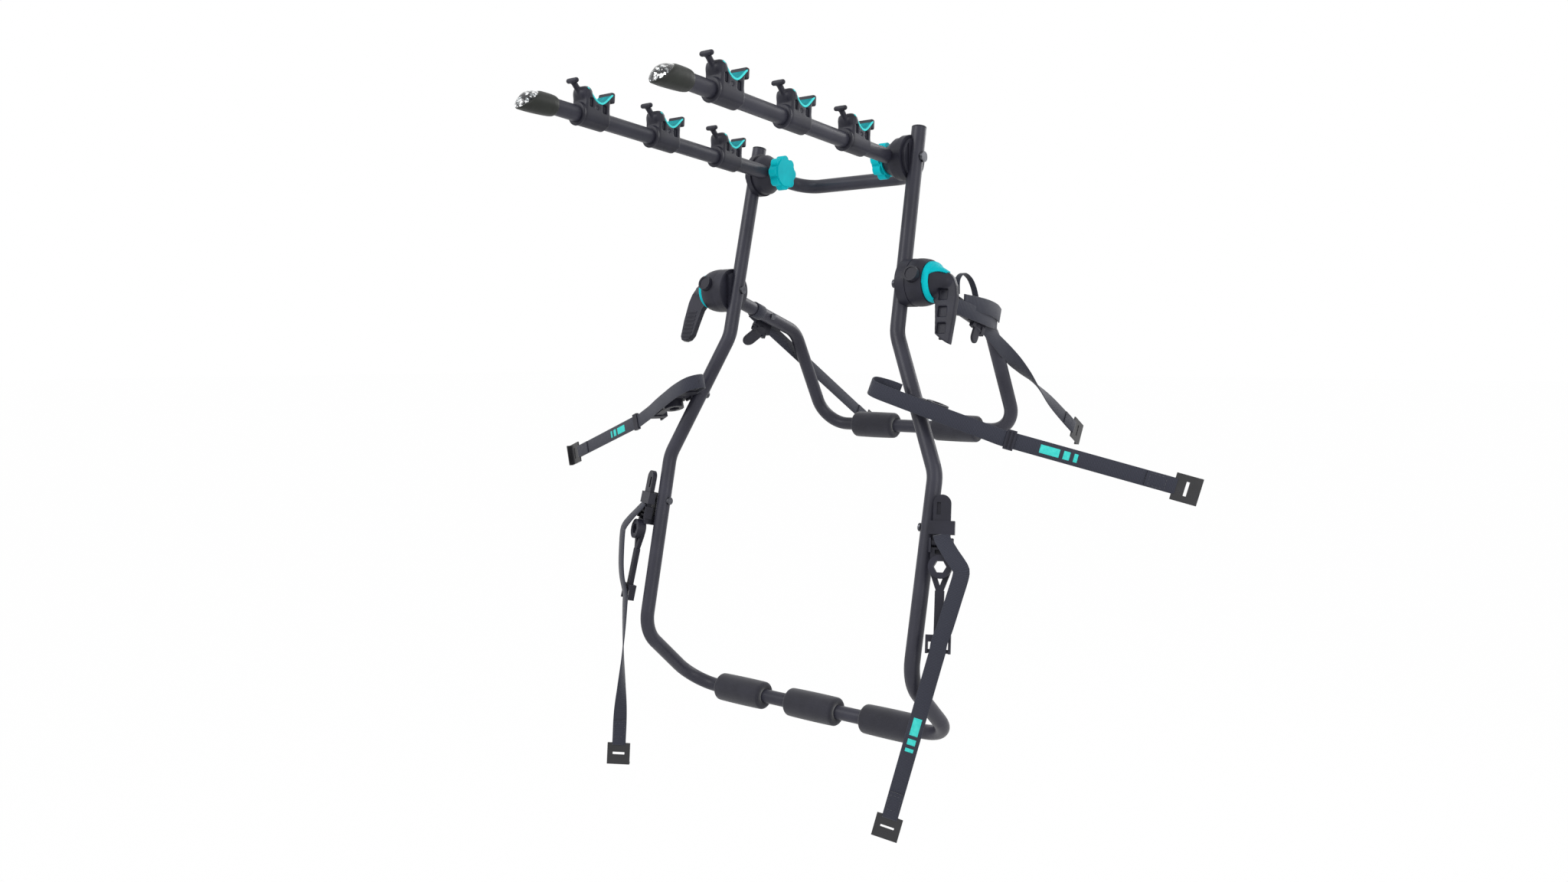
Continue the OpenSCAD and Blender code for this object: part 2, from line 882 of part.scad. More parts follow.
// Axes of the side ratchet: Z from the strap bar toward the handle, -Y up.
module on_ratchet_axes() {
    multmatrix([
        [side_x.x, side_y.x, side_z.x, side_ring.x],
        [side_x.y, side_y.y, side_z.y, side_ring.y],
        [side_x.z, side_y.z, side_z.z, side_ring.z],
        [0, 0, 0, 1]
    ])
        children();
}

// The ring faces up on the right and, with the same moulding turned over, down on the left.
module on_side_ratchet(side) {
    on_side(side)
        on_ratchet_axes()
            rotate([0, 0, side > 0 ? 0 : 180])
                children();
}

// Ratchet body: a ring, a forked link down to the strap bar, and cheeks for the handle's pin.
module ratchet_body(bar_z) {
    difference() {
        union() {
            translate([0, 3, 0])
                rotate([90, 0, 0])
                    cylinder(h = 16, r = wheel_r);
            for (s = [-1, 1])
                translate([s * 11, 0, -10])
                    rotate([0, s * 20, 0])
                        translate([-4, -3.5, -32])
                            cube([8, 7, 34]);
            translate([-7, -4, bar_z + 20])
                cube([14, 8, -bar_z - 56]);
            translate([-19, -6, bar_z - 3.5])
                cube([38, 12, 28]);
            translate([-16, -3, 12])
                cube([32, 8, 17.5]);
            for (x = [-18.5, 15])
                translate([x, -6, 22])
                    cube([3.5, 15, 22]);
        }
        translate([0, 10, 0])
            rotate([90, 0, 0])
                cylinder(h = 30, r = 10, $fn = 6);
        translate([-9, -6, 20])
            cube([18, 14, 6]);
        translate([-15.5, -10, bar_z - 5])
            cube([31, 20, 19]);
        translate([0, handle_y, handle_z])
            cyl_x(-30, 30, 2.5 + fit_gap);
    }
    translate([0, 0, bar_z])
        cyl_x(-17, 17, strap_bar_r);
}

// Tensioner frame: origin on its round hub, Z up the lean, -Y facing out from the rack.
module on_tensioner(side) {
    on_side(side)
        translate(tension_at)
            rotate([0, 0, tension_turn])
                rotate([-lean, 0, 0])
                    children();
}

module tensioner(side) {
    color("#202024")
        on_side(side)
            difference() {
                on_tensioner(1) {
                    ratchet_body(strap_bar_z);
                    translate([-12, 2, 12])
                        cube([20, 28, 16]);
                    translate([-12, 14, 20])
                        cube([20, 16, 52]);
                }
                along(main_half_pts[3], main_half_pts[2])
                    cylinder(h = len_low, r = bore_r);
                translate(tension_pt)
                    cyl_x(0, 60, bolt_r + fit_gap);
                on_tensioner(1)
                    rotate([90, 0, 0])
                        translate([0, 0, -10])
                            cylinder(h = 30, r = 10, $fn = 6);
            }
}

// Ratchet handle: a round-ended plate on a pin, with a finger slot and a keeper band.
module handle_shape(keeper_w) {
    difference() {
        union() {
            cyl_x(-14.5, 14.5, 6);
            rotate([90, 0, 0])
                linear_extrude(height = 8, center = true) {
                    translate([-handle_w / 2, 0])
                        square([handle_w, handle_len - handle_w / 2]);
                    translate([0, handle_len - handle_w / 2])
                        circle(r = handle_w / 2);
                }
            translate([-keeper_w / 2, -6.5, keeper_z])
                cube([keeper_w, 13, keeper_h]);
        }
        translate([-8, -6, handle_len - 31])
            cube([6, 5, 19]);
    }
    cyl_x(-18.5, 18.5, 2.5 - turn_gap + fit_gap);
}

module tension_handle(side) {
    color("#26262a")
        on_tensioner(side)
            translate([0, handle_y, handle_z])
                handle_shape(keeper_wide);
}

module side_handle(side) {
    color("#26262a")
        on_side_ratchet(side)
            translate([0, handle_y, handle_z])
                handle_shape(keeper_slim);
}

module tension_bolts() {
    color("#8d8f94")
        for (side = [-1, 1])
            on_side(side) {
                translate(tension_pt) {
                    cyl_x(-tube_r - 2, tube_r + 9, bolt_r);
                    cyl_x(-tube_r - 4, -tube_r - fit_gap, 1.7 * bolt_r);
                }
                side_bolt_shape(bolt_r, -tube_r - 2, tube_r + 8);
                side_bolt_shape(1.7 * bolt_r, -tube_r - 4, -tube_r - fit_gap);
            }
}

function lower_end(side) = side > 0 ? lower_end_right : lower_end_left;
function lower_route(side) = [
    for (q = lower_slack)
        [
            flip(tension_at + tension_x * q.x + tension_y * q.y + tension_z * q.z, side),
            flip(tension_x, side)
        ]
];
function lower_last(side) = let (r = lower_route(side)) r[len(r) - 1][0];
function lower_mouth(side) = hook_mouth(lower_last(side), lower_end(side));
function lower_run(side) = [
    for (q = side > 0 ? lower_turn_right : lower_turn_left)
        [
            lower_last(side) + (lower_mouth(side) - lower_last(side)) * q.x,
            [cos(q.y), sin(q.y), 0]
        ]
];

module on_lower_strap(side) {
    r = lower_run(side);
    on_strap(lower_last(side), lower_end(side), r[len(r) - 1][1])
        children();
}

// Lower strap: a slack loop in front of the ratchet, past its bar and down to the hook.
module strap_lower(side) {
    color("#2a2b33")
        webbing(concat(lower_route(side), lower_run(side)));
}

module on_upper_strap(side) {
    on_side(side)
        on_strap(upper_start, upper_end, [0, 0, 1])
            children();
}

// Upper strap: a loop round the leg and a run along its outer side to the hook.
module strap_upper(side) {
    color("#2a2b33")
        difference() {
            union() {
                on_side(side)
                    along(leg_root + leg_dir * (upper_loop - web_w / 2), leg_knee)
                        cylinder(h = web_w, r = tube_r + fit_gap + web_t);
                on_upper_strap(side)
                    web(0, upper_len - hook_len + 6);
            }
            on_side(side)
                along(leg_root + leg_dir * (upper_loop - web_w), leg_knee)
                    cylinder(h = 2 * web_w, r = bore_r);
        }
}

module upper_hooks() {
    color("#1d1d20")
        for (side = [-1, 1])
            on_upper_strap(side)
                translate([upper_len, 0, 0])
                    hook_plate();
}

// Cam buckle: a flat frame on the webbing with lugs for the thumb tab's pin.
module cam_buckles() {
    color("#1d1d20")
        for (side = [-1, 1])
            on_upper_strap(side)
                difference() {
                    union() {
                        translate([24, -web_w / 2 - 2.5, -2.3])
                            cube([46, web_w + 5, 9]);
                        for (x = [26, 56])
                            translate([x, -24, 1.5])
                                cube([10, 14, 8]);
                    }
                    translate([0, -web_w / 2 - fit_gap, -web_t / 2 - fit_gap])
                        cube([120, web_w + 2 * fit_gap, web_t + 2 * fit_gap]);
                    translate([0, tab_pin.x, tab_pin.y])
                        cyl_x(0, 100, 2 + turn_gap);
                }
}

// Thumb tab that hangs below the cam buckle and swings out to free the webbing.
module cam_tab(side) {
    color("#1a1a1d")
        on_upper_strap(side)
            translate([0, tab_pin.x, tab_pin.y]) {
                cyl_x(27, 65, 2);
                cyl_x(36 + move_gap, 56 - move_gap, 3.5);
                translate([36 + move_gap, -44, -1.5])
                    cube([20 - 2 * move_gap, 44, 4]);
            }
}

main_frame();
frame_plugs();
roller(-1);  // roller_left
roller(0);  // roller_mid
roller(1);  // roller_right
top_hub(-1);  // top_hub_left
top_hub(1);  // top_hub_right
pivot_bolts();
mid_hub(-1);  // mid_hub_left
mid_hub(1);  // mid_hub_right
mid_bolts();
arm_tube();
arm_hub(-1);  // arm_hub_left
arm_hub(1);  // arm_hub_right
end_cap(-1);  // end_cap_left
end_cap(1);  // end_cap_right
reflector(-1);  // reflector_left
reflector(1);  // reflector_right
cradle(-1, 0);  // cradle_left_1
cradle(-1, 1);  // cradle_left_2
cradle(-1, 2);  // cradle_left_3
cradle(1, 0);  // cradle_right_1
cradle(1, 1);  // cradle_right_2
cradle(1, 2);  // cradle_right_3
saddles(-1);  // saddles_left
saddles(1);  // saddles_right
cradle_screws();
knob(-1);  // knob_left
knob(1);  // knob_right
support_frame();
sleeve(-1);  // sleeve_left
sleeve(1);  // sleeve_right
swing_hub(-1);  // swing_hub_left
swing_hub(1);  // swing_hub_right
lock_ring(-1);  // lock_ring_left
lock_ring(1);  // lock_ring_right
support_rivets();
lever(-1, lever_tilt_left);  // lever_left
lever(1, lever_tilt_right);  // lever_right
button(-1);  // button_left
button(1);  // button_right
strap_side(-1);  // strap_side_left
strap_side(1);  // strap_side_right
strap_lower(-1);  // strap_lower_left
strap_lower(1);  // strap_lower_right
strap_upper(-1);  // strap_upper_left
strap_upper(1);  // strap_upper_right
hooks();
upper_hooks();
side_buckles();
cam_buckles();
cam_tab(-1);  // cam_tab_left
cam_tab(1);  // cam_tab_right
tensioner(-1);  // tensioner_left
tensioner(1);  // tensioner_right
tension_handle(-1);  // tension_handle_left
tension_handle(1);  // tension_handle_right
side_handle(-1);  // side_handle_left
side_handle(1);  // side_handle_right
tension_bolts();
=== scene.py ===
# Looks of a trunk-mounted bike rack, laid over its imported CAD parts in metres.
import math

import bpy
import numpy as np
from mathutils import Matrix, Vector


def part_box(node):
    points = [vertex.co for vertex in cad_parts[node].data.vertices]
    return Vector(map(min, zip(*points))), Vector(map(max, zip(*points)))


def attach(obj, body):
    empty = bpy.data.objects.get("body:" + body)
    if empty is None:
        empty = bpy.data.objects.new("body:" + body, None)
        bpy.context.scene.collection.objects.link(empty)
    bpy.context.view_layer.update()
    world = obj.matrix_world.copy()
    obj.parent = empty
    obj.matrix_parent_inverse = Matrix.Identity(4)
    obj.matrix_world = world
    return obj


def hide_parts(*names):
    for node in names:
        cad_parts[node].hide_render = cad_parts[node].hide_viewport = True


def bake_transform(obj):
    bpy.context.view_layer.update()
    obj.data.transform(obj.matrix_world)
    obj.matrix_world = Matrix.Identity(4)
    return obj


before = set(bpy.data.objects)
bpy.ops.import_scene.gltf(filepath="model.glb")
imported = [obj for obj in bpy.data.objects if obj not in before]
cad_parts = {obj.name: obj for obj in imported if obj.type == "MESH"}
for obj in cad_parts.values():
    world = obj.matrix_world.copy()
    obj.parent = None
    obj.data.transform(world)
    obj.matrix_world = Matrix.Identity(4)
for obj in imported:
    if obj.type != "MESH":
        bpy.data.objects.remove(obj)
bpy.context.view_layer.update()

# Frame tubes: three round steel tubes, each cold bent in one piece, then powder coated and baked.
# The coat is a satin black with a cool cast, and has the faint orange peel that baking leaves.
MM = 0.001


def linear(hex_colour):
    """Linear RGBA of an sRGB hex colour."""
    srgb = [int(hex_colour[i:i + 2], 16) / 255 for i in (1, 3, 5)]
    return (*[c / 12.92 if c <= 0.04045 else ((c + 0.055) / 1.055) ** 2.4 for c in srgb], 1.0)


def add_node(tree, kind, inputs=None, **settings):
    """Adds a node, sets its properties, and fills its inputs with values or with other nodes' outputs."""
    node = tree.nodes.new(kind)
    for name, value in settings.items():
        setattr(node, name, value)
    for name, value in (inputs or {}).items():
        if isinstance(value, bpy.types.NodeSocket):
            tree.links.new(value, node.inputs[name])
        else:
            node.inputs[name].default_value = value
    return node


def new_material(name, **constants):
    """A Principled material with the given constants on the shader's own sockets."""
    material = bpy.data.materials.new(name)
    material.use_nodes = True
    shader = material.node_tree.nodes["Principled BSDF"]
    for socket, value in constants.items():
        shader.inputs[socket.replace("_", " ")].default_value = value
    return material, material.node_tree, shader


def grain(material_parts, dark, light, patch, grit, roughness, depth):
    """Colour that drifts between two shades in patches, over a surface with a fine grit; sizes in millimetres."""
    material, tree, shader = material_parts
    place = add_node(tree, "ShaderNodeTexCoord").outputs["Object"]
    drift = add_node(tree, "ShaderNodeTexNoise", {"Vector": place, "Scale": 1 / (patch * MM), "Detail": 3.0})
    grains = add_node(tree, "ShaderNodeTexNoise", {"Vector": place, "Scale": 1 / (grit * MM), "Detail": 2.0})
    shades = add_node(tree, "ShaderNodeValToRGB", {"Fac": drift.outputs["Fac"]})
    shades.color_ramp.elements[0].position = 0.35
    shades.color_ramp.elements[0].color = linear(dark)
    shades.color_ramp.elements[1].position = 0.75
    shades.color_ramp.elements[1].color = linear(light)
    rough = add_node(tree, "ShaderNodeMapRange", {
        "Value": grains.outputs["Fac"], "From Min": 0.3, "From Max": 0.7,
        "To Min": roughness[0], "To Max": roughness[1],
    })
    bump = add_node(tree, "ShaderNodeBump", {
        "Height": grains.outputs["Fac"], "Strength": 0.5, "Distance": depth * MM,
    })
    tree.links.new(shades.outputs["Color"], shader.inputs["Base Color"])
    tree.links.new(rough.outputs["Result"], shader.inputs["Roughness"])
    tree.links.new(bump.outputs["Normal"], shader.inputs["Normal"])
    return material


def dress(names, material, edge):
    """Gives CAD parts their finish, and rounds their sharp edges by so many millimetres."""
    for name in names:
        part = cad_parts[name]
        part.data.materials.clear()
        part.data.materials.append(material)
        weld = part.modifiers.new("Weld", "WELD")
        weld.merge_threshold = 0.001 * MM
        if edge:
            bevel = part.modifiers.new("Edge", "BEVEL")
            bevel.width = edge * MM
            bevel.segments = 2
            bevel.limit_method = "ANGLE"
            bevel.angle_limit = math.radians(38)
            bevel.miter_outer = "MITER_ARC"
        normals = part.modifiers.new("Normals", "WEIGHTED_NORMAL")
        normals.keep_sharp = False
        normals.weight = 100


powder_coat = grain(
    new_material("powder_coated_steel", IOR=1.5, Specular_IOR_Level=0.3),
    dark="#2c2c36", light="#363641", patch=60, grit=1.6, roughness=(0.34, 0.46), depth=0.05,
)
dress(["main_frame", "arm_tube", "support_frame"], powder_coat, edge=0)

# Hubs, buttons, plugs, buckles and ratchets: glass-filled nylon, injection moulded in black.
# The mould's spark-eroded face leaves an even grain and a soft, broad shine. The real grain is too fine to show, so it
# is drawn coarser, here and on the other mouldings.
nylon = grain(
    new_material("glass_filled_nylon", IOR=1.53, Specular_IOR_Level=0.28),
    dark="#1e1e28", light="#282834", patch=35, grit=0.9, roughness=(0.42, 0.56), depth=0.06,
)
dress(["frame_plugs", "side_buckles", "cam_buckles"], nylon, edge=1.0)
PAIRED_MOULDINGS = (
    "top_hub", "arm_hub", "mid_hub", "swing_hub", "button", "tensioner", "tension_handle", "side_handle",
)
dress([f"{part}_{side}" for part in PAIRED_MOULDINGS for side in ("left", "right")], nylon, edge=1.0)

# Knobs: eight-lobed stars of ABS, moulded through in teal, each turned by hand on the end of its pivot bolt.
# Their satin face keeps the colour even, with only a weak shine.
teal_abs = grain(
    new_material("teal_abs", IOR=1.54, Specular_IOR_Level=0.06),
    dark="#05b5c1", light="#0ac3cd", patch=18, grit=0.8, roughness=(0.42, 0.54), depth=0.04,
)
dress(["knob_left", "knob_right"], teal_abs, edge=1.2)

# Cradles: six nylon mouldings, each a collar on the arm with a round tower, a T-headed peg for the tie and a lip.
# A teal pad lies in the hollow between tower and lip, and screws in the side bosses hold it on the arm.
ARM_ROOT, ARM_DROP = np.array([135, 50.21, 950.29]), math.radians(4.5)
arm_in = np.array([0, math.cos(ARM_DROP), -math.sin(ARM_DROP)])
arm_up = np.array([0, math.sin(ARM_DROP), math.cos(ARM_DROP)])
CRADLE_FIRST, CRADLE_PITCH = 104, 158
HOLLOW_RUN = (-60, -50, -46, -42, -38, -34, -30, -26, -22, -18, -14, -10, -6, -2, 2, 5, 8, 20)
HOLLOW_HEIGHT = (
    46, 44, 41, 38.6, 35, 31.2, 27.8, 25.2, 23.7, 23.2, 23.7, 25.6, 28.8, 32.8, 37, 40.2, 42.5, 44,
)
PAD_THICK = 2.6
SCREW_SPOT = (-25, 13)
SIDES = (("left", -1), ("right", 1))


def rounded_box(x, y, z, middle, half, radius):
    """Distance to a box with rounded edges."""
    reach = [np.abs(v - m) - h + radius for v, m, h in zip((x, y, z), middle, half)]
    outside = np.sqrt(sum(np.maximum(r, 0) ** 2 for r in reach))
    return outside + np.minimum(np.maximum(np.maximum(reach[0], reach[1]), reach[2]), 0) - radius


def rod(x, y, z, start, end, radius):
    """Distance to a round-ended rod."""
    along = np.subtract(end, start)
    share = np.clip(sum((v - s) * a for v, s, a in zip((x, y, z), start, along)) / (along @ along), 0, 1)
    return np.sqrt(sum((v - s - share * a) ** 2 for v, s, a in zip((x, y, z), start, along))) - radius


def joined(a, b, fillet):
    """Two solids in one, with a fillet where they meet."""
    blend = np.clip(0.5 + 0.5 * (b - a) / fillet, 0, 1)
    return b * (1 - blend) + a * blend - fillet * blend * (1 - blend)


def trimmed(a, b, fillet):
    """The part of a solid that lies in another, with its new edge rounded."""
    return -joined(-a, -b, fillet)


def moulding(name, shape, low, high, cell, place, body, material, slot, *stands_for):
    """A moulded piece: the surface of a solid given by its distance, in millimetres, drawn on a fine grid."""
    axes = [np.arange(a - cell, b + 2 * cell, cell) for a, b in zip(low, high)]
    depth = shape(*np.meshgrid(*axes, indexing="ij"))
    inside = depth < 0
    size = tuple(n - 1 for n in depth.shape)
    middle, crossings = np.zeros((*size, 3)), np.zeros(size)
    unit = np.eye(3, dtype=int)
    for corner in np.ndindex(2, 2, 2):
        for axis in range(3):
            if corner[axis]:
                continue
            near, far = (
                depth[tuple(slice(c, c + n) for c, n in zip(end, size))] for end in (corner, corner + unit[axis])
            )
            cut = (near < 0) != (far < 0)
            share = np.where(cut, near / np.where(cut, near - far, 1), 0)
            middle += cut[..., None] * np.array(corner) + share[..., None] * unit[axis]
            crossings += cut
    used = crossings > 0
    number = np.full(size, -1)
    number[used] = np.arange(used.sum())
    points = (np.argwhere(used) + middle[used] / crossings[used][:, None]) * cell + [a[0] for a in axes]
    faces = []
    mirrored = np.linalg.det([place(edge) - place(0 * edge) for edge in np.eye(3)]) < 0
    for axis in range(3):
        here, there = np.delete(inside, -1, axis), np.delete(inside, 0, axis)
        one, two = unit[(axis + 1) % 3], unit[(axis + 2) % 3]
        for crossing, order in ((here & ~there, 1), (there & ~here, -1)):
            spot = np.argwhere(crossing)
            ring = [number[tuple((spot - back).T)] for back in (one + two, two, 0 * one, one)]
            faces += np.stack(ring[::-order if mirrored else order], 1).tolist()
    mesh = bpy.data.meshes.new(name)
    mesh.from_pydata([tuple(place(q) * MM) for q in points], [], faces)
    mesh.shade_smooth()
    mesh.materials.append(material)
    piece = bpy.data.objects.new(name, mesh)
    bpy.context.scene.collection.objects.link(piece)
    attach(piece, body)
    if stands_for:
        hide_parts(*stands_for)


def flip(place, sign):
    """A place or direction of the right side, on the side of this sign."""
    return np.array([sign * place[0], place[1], place[2]])


def arm_place(sign, distance):
    """From a spot's own frame on an arm to the rack's."""
    root = flip(ARM_ROOT, sign) - arm_in * distance
    return lambda q: root + np.array([q[0], 0, 0]) + arm_in * q[1] + arm_up * q[2]


def over_hollow(y, z):
    """How far a point lies above the hollow's curve, scaled to stay a fair distance on its slopes."""
    return (z - np.interp(y, HOLLOW_RUN, HOLLOW_HEIGHT)) * 0.72


def cradle_body(x, y, z):
    """The collar, the block under the hollow, the tower, lip and peg, and the screw's boss on either side."""
    collar = trimmed(np.hypot(x, z) - 16.5, np.abs(y + 26) - 27, 1.5)
    flange = trimmed(np.hypot(x, z) - 18, np.abs(y + 51) - 2, 1.5)
    block = rounded_box(x, y, z, (0, -22.5, 20), (16, 24.5, 30), 3)
    block = trimmed(block, over_hollow(y, z) + PAD_THICK - 0.3, 1.0)
    tower = rod(x, y, z, (-5.5, -41, 32.5), (5.5, -41, 32.5), 10.8)
    lip = rounded_box(x, y, z, (0, 8, 36), (15.5, 4.2, 8.2), 2.5)
    peg = joined(rod(x, y, z, (0, -44, 29), (0, -61, 45.5), 4.6),
                 rod(x, y, z, (-8.5, -63, 47), (8.5, -63, 47), 3.9), 2.5)
    body = joined(joined(joined(collar, flange, 1), block, 4), joined(tower, lip, 1), 4)
    body = joined(body, peg, 2.5)
    for run, height, half in ((-37, 19, 3.4), (-9.5, 14, 4.2)):
        body = trimmed(body, -rounded_box(np.abs(x), y, z, (17, run, height), (5, half, 6.5), 1.2), 1.0)
    boss = rod(np.abs(x), y, z, (10, *SCREW_SPOT), (12.2, *SCREW_SPOT), 5.2)
    body = joined(body, boss, 1.0)
    return trimmed(body, -rod(np.abs(x), y, z, (17, *SCREW_SPOT), (22, *SCREW_SPOT), 3.4), 0.8)


cradle_places = {
    (side, i): arm_place(sign, CRADLE_FIRST + (i - 1) * CRADLE_PITCH) for side, sign in SIDES for i in (1, 2, 3)
}
for (side, i), place in cradle_places.items():
    moulding(
        f"cradle_{side}_{i}_moulding", cradle_body, (-20, -70, -20), (20, 15, 54), 1.25, place, "arms",
        nylon, "black_plastic", f"cradle_{side}_{i}",
    )

# Saddle pads: soft thermoplastic rubber in the knobs' teal, moulded into the cradles' hollows.
# They are matt and a shade deeper than the knobs, and paler in a band along each side edge.
PAD_HALF, PAD_ENDS = 16.4, (-45.5, 6.5)
RIM_IN, RIM_OUT = 3.2, 1.2
teal_rubber = grain(
    new_material("teal_rubber", IOR=1.5, Specular_IOR_Level=0.15),
    dark="#07868e", light="#0a9ca4", patch=8, grit=1.2, roughness=(0.55, 0.7), depth=0.12,
)
tree = teal_rubber.node_tree
shader = tree.nodes["Principled BSDF"]
inner_shade = shader.inputs["Base Color"].links[0].from_socket
spot = add_node(tree, "ShaderNodeSeparateXYZ", {
    "Vector": add_node(tree, "ShaderNodeTexCoord").outputs["Object"],
})
off_arm = add_node(tree, "ShaderNodeMath", {
    0: add_node(tree, "ShaderNodeMath", {0: spot.outputs["X"]}, operation="ABSOLUTE").outputs["Value"],
    1: ARM_ROOT[0] * MM,
}, operation="SUBTRACT")
off_arm = add_node(tree, "ShaderNodeMath", {0: off_arm.outputs["Value"]}, operation="ABSOLUTE")
# Paler colour in a band along the pad's side edges.
rim = add_node(tree, "ShaderNodeMapRange", {
    "Value": off_arm.outputs["Value"], "From Min": (PAD_HALF - RIM_IN) * MM, "From Max": (PAD_HALF - RIM_OUT) * MM,
})
shade = add_node(tree, "ShaderNodeMix", data_type="RGBA")
tree.links.new(rim.outputs["Result"], shade.inputs["Factor"])
tree.links.new(inner_shade, shade.inputs["A"])
shade.inputs["B"].default_value = linear("#4fe6e6")
tree.links.new(shade.outputs["Result"], shader.inputs["Base Color"])


def cradle_pad(x, y, z):
    """A skin of even thickness in the cradle's hollow, a little wider than the cradle."""
    above = over_hollow(y, z)
    ends = np.maximum(PAD_ENDS[0] - y, y - PAD_ENDS[1])
    return trimmed(trimmed(above, -above - PAD_THICK, 0.8), np.maximum(np.abs(x) - PAD_HALF, ends), 1.2)


for (side, i), place in cradle_places.items():
    moulding(
        f"saddle_{side}_{i}_pad", cradle_pad, (-19, -49, 17), (19, 10, 49), 1.1, place, "arms",
        teal_rubber, "teal_rubber", *(["saddles_" + side] if i == 1 else []),
    )

# Arm end caps: polyethylene mouldings pushed over the arms' ends, swollen, and cut off on a slant for the reflector.
# The plastic is a warm greenish black, with a soft shine.
CAP_START = 518
CAP_FACE, CAP_SLANT = np.array([51, -2]), math.radians(44)
CAP_RUN = (-5, 0, 4, 10, 20, 35, 50, 65, 80)
CAP_RADIUS = (14.6, 14.8, 15.8, 16.5, 16.9, 17.1, 17, 16, 14)
cap_plastic = grain(
    new_material("moulded_polyethylene", IOR=1.51, Specular_IOR_Level=0.35),
    dark="#141713", light="#1d211b", patch=25, grit=1.0, roughness=(0.4, 0.52), depth=0.06,
)


def cap_bulb(x, y, z, skin):
    """The swollen outside of a cap, or a surface so far under its skin."""
    run = -y
    droop = 0.05 * np.clip(run, 0, 70)
    return np.hypot(x, z + droop) - np.interp(run, CAP_RUN, CAP_RADIUS) + skin


def cap_slope(y, z):
    """How far a point lies in front of the slanted face."""
    return (-y - CAP_FACE[0]) * math.sin(CAP_SLANT) + (z - CAP_FACE[1]) * math.cos(CAP_SLANT)


def cap_shell(x, y, z):
    """The cut-off bulb, with a small bump under it."""
    shell = trimmed(trimmed(cap_bulb(x, y, z, 0), cap_slope(y, z), 4), y, 1.5)
    return joined(shell, rod(x, y, z, (0, -27, -13), (0, -30, -14), 3.6), 2)


for side, sign in SIDES:
    moulding(
        f"end_cap_{side}_moulding", cap_shell, (-19, -84, -26), (19, 1, 20), 1.1, arm_place(sign, CAP_START), "arms",
        cap_plastic, "cap_plastic", "end_cap_" + side,
    )

# Reflectors: clear acrylic lenses with a metallised prism back, fixed in the caps' slanted faces.
# The prisms' sparkle is painted into their colour as near-white, grey and dark facets at random (painted glints and
# painted shade), drawn a little coarse so that they show.
PRISM_PITCH, PRISM_DEPTH = 3.4, 2.0
reflector, tree, shader = new_material(
    "prismatic_acrylic", Metallic=0.8, IOR=1.49, Coat_Weight=1.0, Roughness=0.16,
)
facet_place = add_node(tree, "ShaderNodeTexCoord").outputs["Object"]
prisms = add_node(tree, "ShaderNodeTexVoronoi", {"Vector": facet_place, "Scale": 1 / (PRISM_PITCH * MM)})
facets = add_node(tree, "ShaderNodeBump", {
    "Height": prisms.outputs["Distance"], "Strength": 1.0, "Distance": PRISM_DEPTH * MM,
})
# Painted glints and painted shade: each facet is coloured dark, grey or near white at random, for the light it would
# reflect.
painted_glints = add_node(tree, "ShaderNodeValToRGB", {
    "Fac": add_node(tree, "ShaderNodeSeparateColor", {"Color": prisms.outputs["Color"]}).outputs["Red"],
})
painted_glints.color_ramp.interpolation = "CONSTANT"
painted_glints.color_ramp.elements[0].color = linear("#14161a")
painted_glints.color_ramp.elements[1].position = 0.6
painted_glints.color_ramp.elements[1].color = linear("#8d9294")
painted_glints.color_ramp.elements.new(0.82).color = linear("#f4f6f6")
tree.links.new(painted_glints.outputs["Color"], shader.inputs["Base Color"])
tree.links.new(facets.outputs["Normal"], shader.inputs["Normal"])


def cap_lens(x, y, z):
    """A lens seated in the cap, which bulges from its slanted face."""
    across = (y + CAP_FACE[0]) * math.cos(CAP_SLANT) + (z - CAP_FACE[1]) * math.sin(CAP_SLANT)
    dome = np.maximum(10 * (1 - 0.8 * (x / 16.5) ** 2 - (across / 21.5) ** 2), 0.3)
    return trimmed(trimmed(cap_bulb(x, y, z, 1.6), cap_slope(y, z) - dome, 1.0), -cap_slope(y, z) - 2, 0.5)


for side, sign in SIDES:
    moulding(
        f"reflector_{side}_lens", cap_lens, (-18.3, -84.2, -26.1), (18, -22, 26), 0.8, arm_place(sign, CAP_START),
        "arms", reflector, "reflector", "reflector_" + side,
    )

# Lock rings: mouldings of the knobs' teal ABS, fixed on the end of each swinging hub.
# Each has a visor that slopes down over the clamp lever's hub.
MID_HUB = np.array([178.06, 3.67, 740.39])
LEVER_START = 61.2
RING_RADIUS, RING_HALF = 33.2, 5.2
VISOR_REACH, VISOR_THICK = 26, 3.6


def hub_place(sign, tilt):
    """From a clamp lever's own frame, turned on its bolt, to the rack's."""
    c, s = math.cos(math.radians(tilt)), math.sin(math.radians(tilt))
    return lambda q: flip(MID_HUB + [LEVER_START + q[0], c * q[1] - s * q[2], s * q[1] + c * q[2]], sign)


def ring_and_visor(x, y, z):
    """A stepped ring about the bolt, and a visor that narrows as it leaves the ring's top."""
    radius = np.hypot(y, z)
    bore = np.where(x < -0.4, 22, 28.4)
    ring = trimmed(radius - RING_RADIUS + 0.4 * np.maximum(x, 0), bore - radius, 0.8)
    ring = trimmed(ring, np.abs(x) - RING_HALF, 1.2)
    outer = RING_RADIUS - 0.56 * np.maximum(x + 4, 0)
    from_top = np.degrees(np.arctan2(np.abs(y), z))
    spread = np.interp(x, (-5, 0, 6, 14, VISOR_REACH), (95, 78, 58, 40, 24))
    shell = trimmed((radius - outer) * 0.87, (outer - VISOR_THICK - radius) * 0.87, 1.0)
    visor = trimmed(shell, (from_top - spread) * 0.3, 1.0)
    visor = trimmed(visor, np.maximum(x - VISOR_REACH, -RING_HALF - x), 1.0)
    return joined(ring, visor, 1.5)


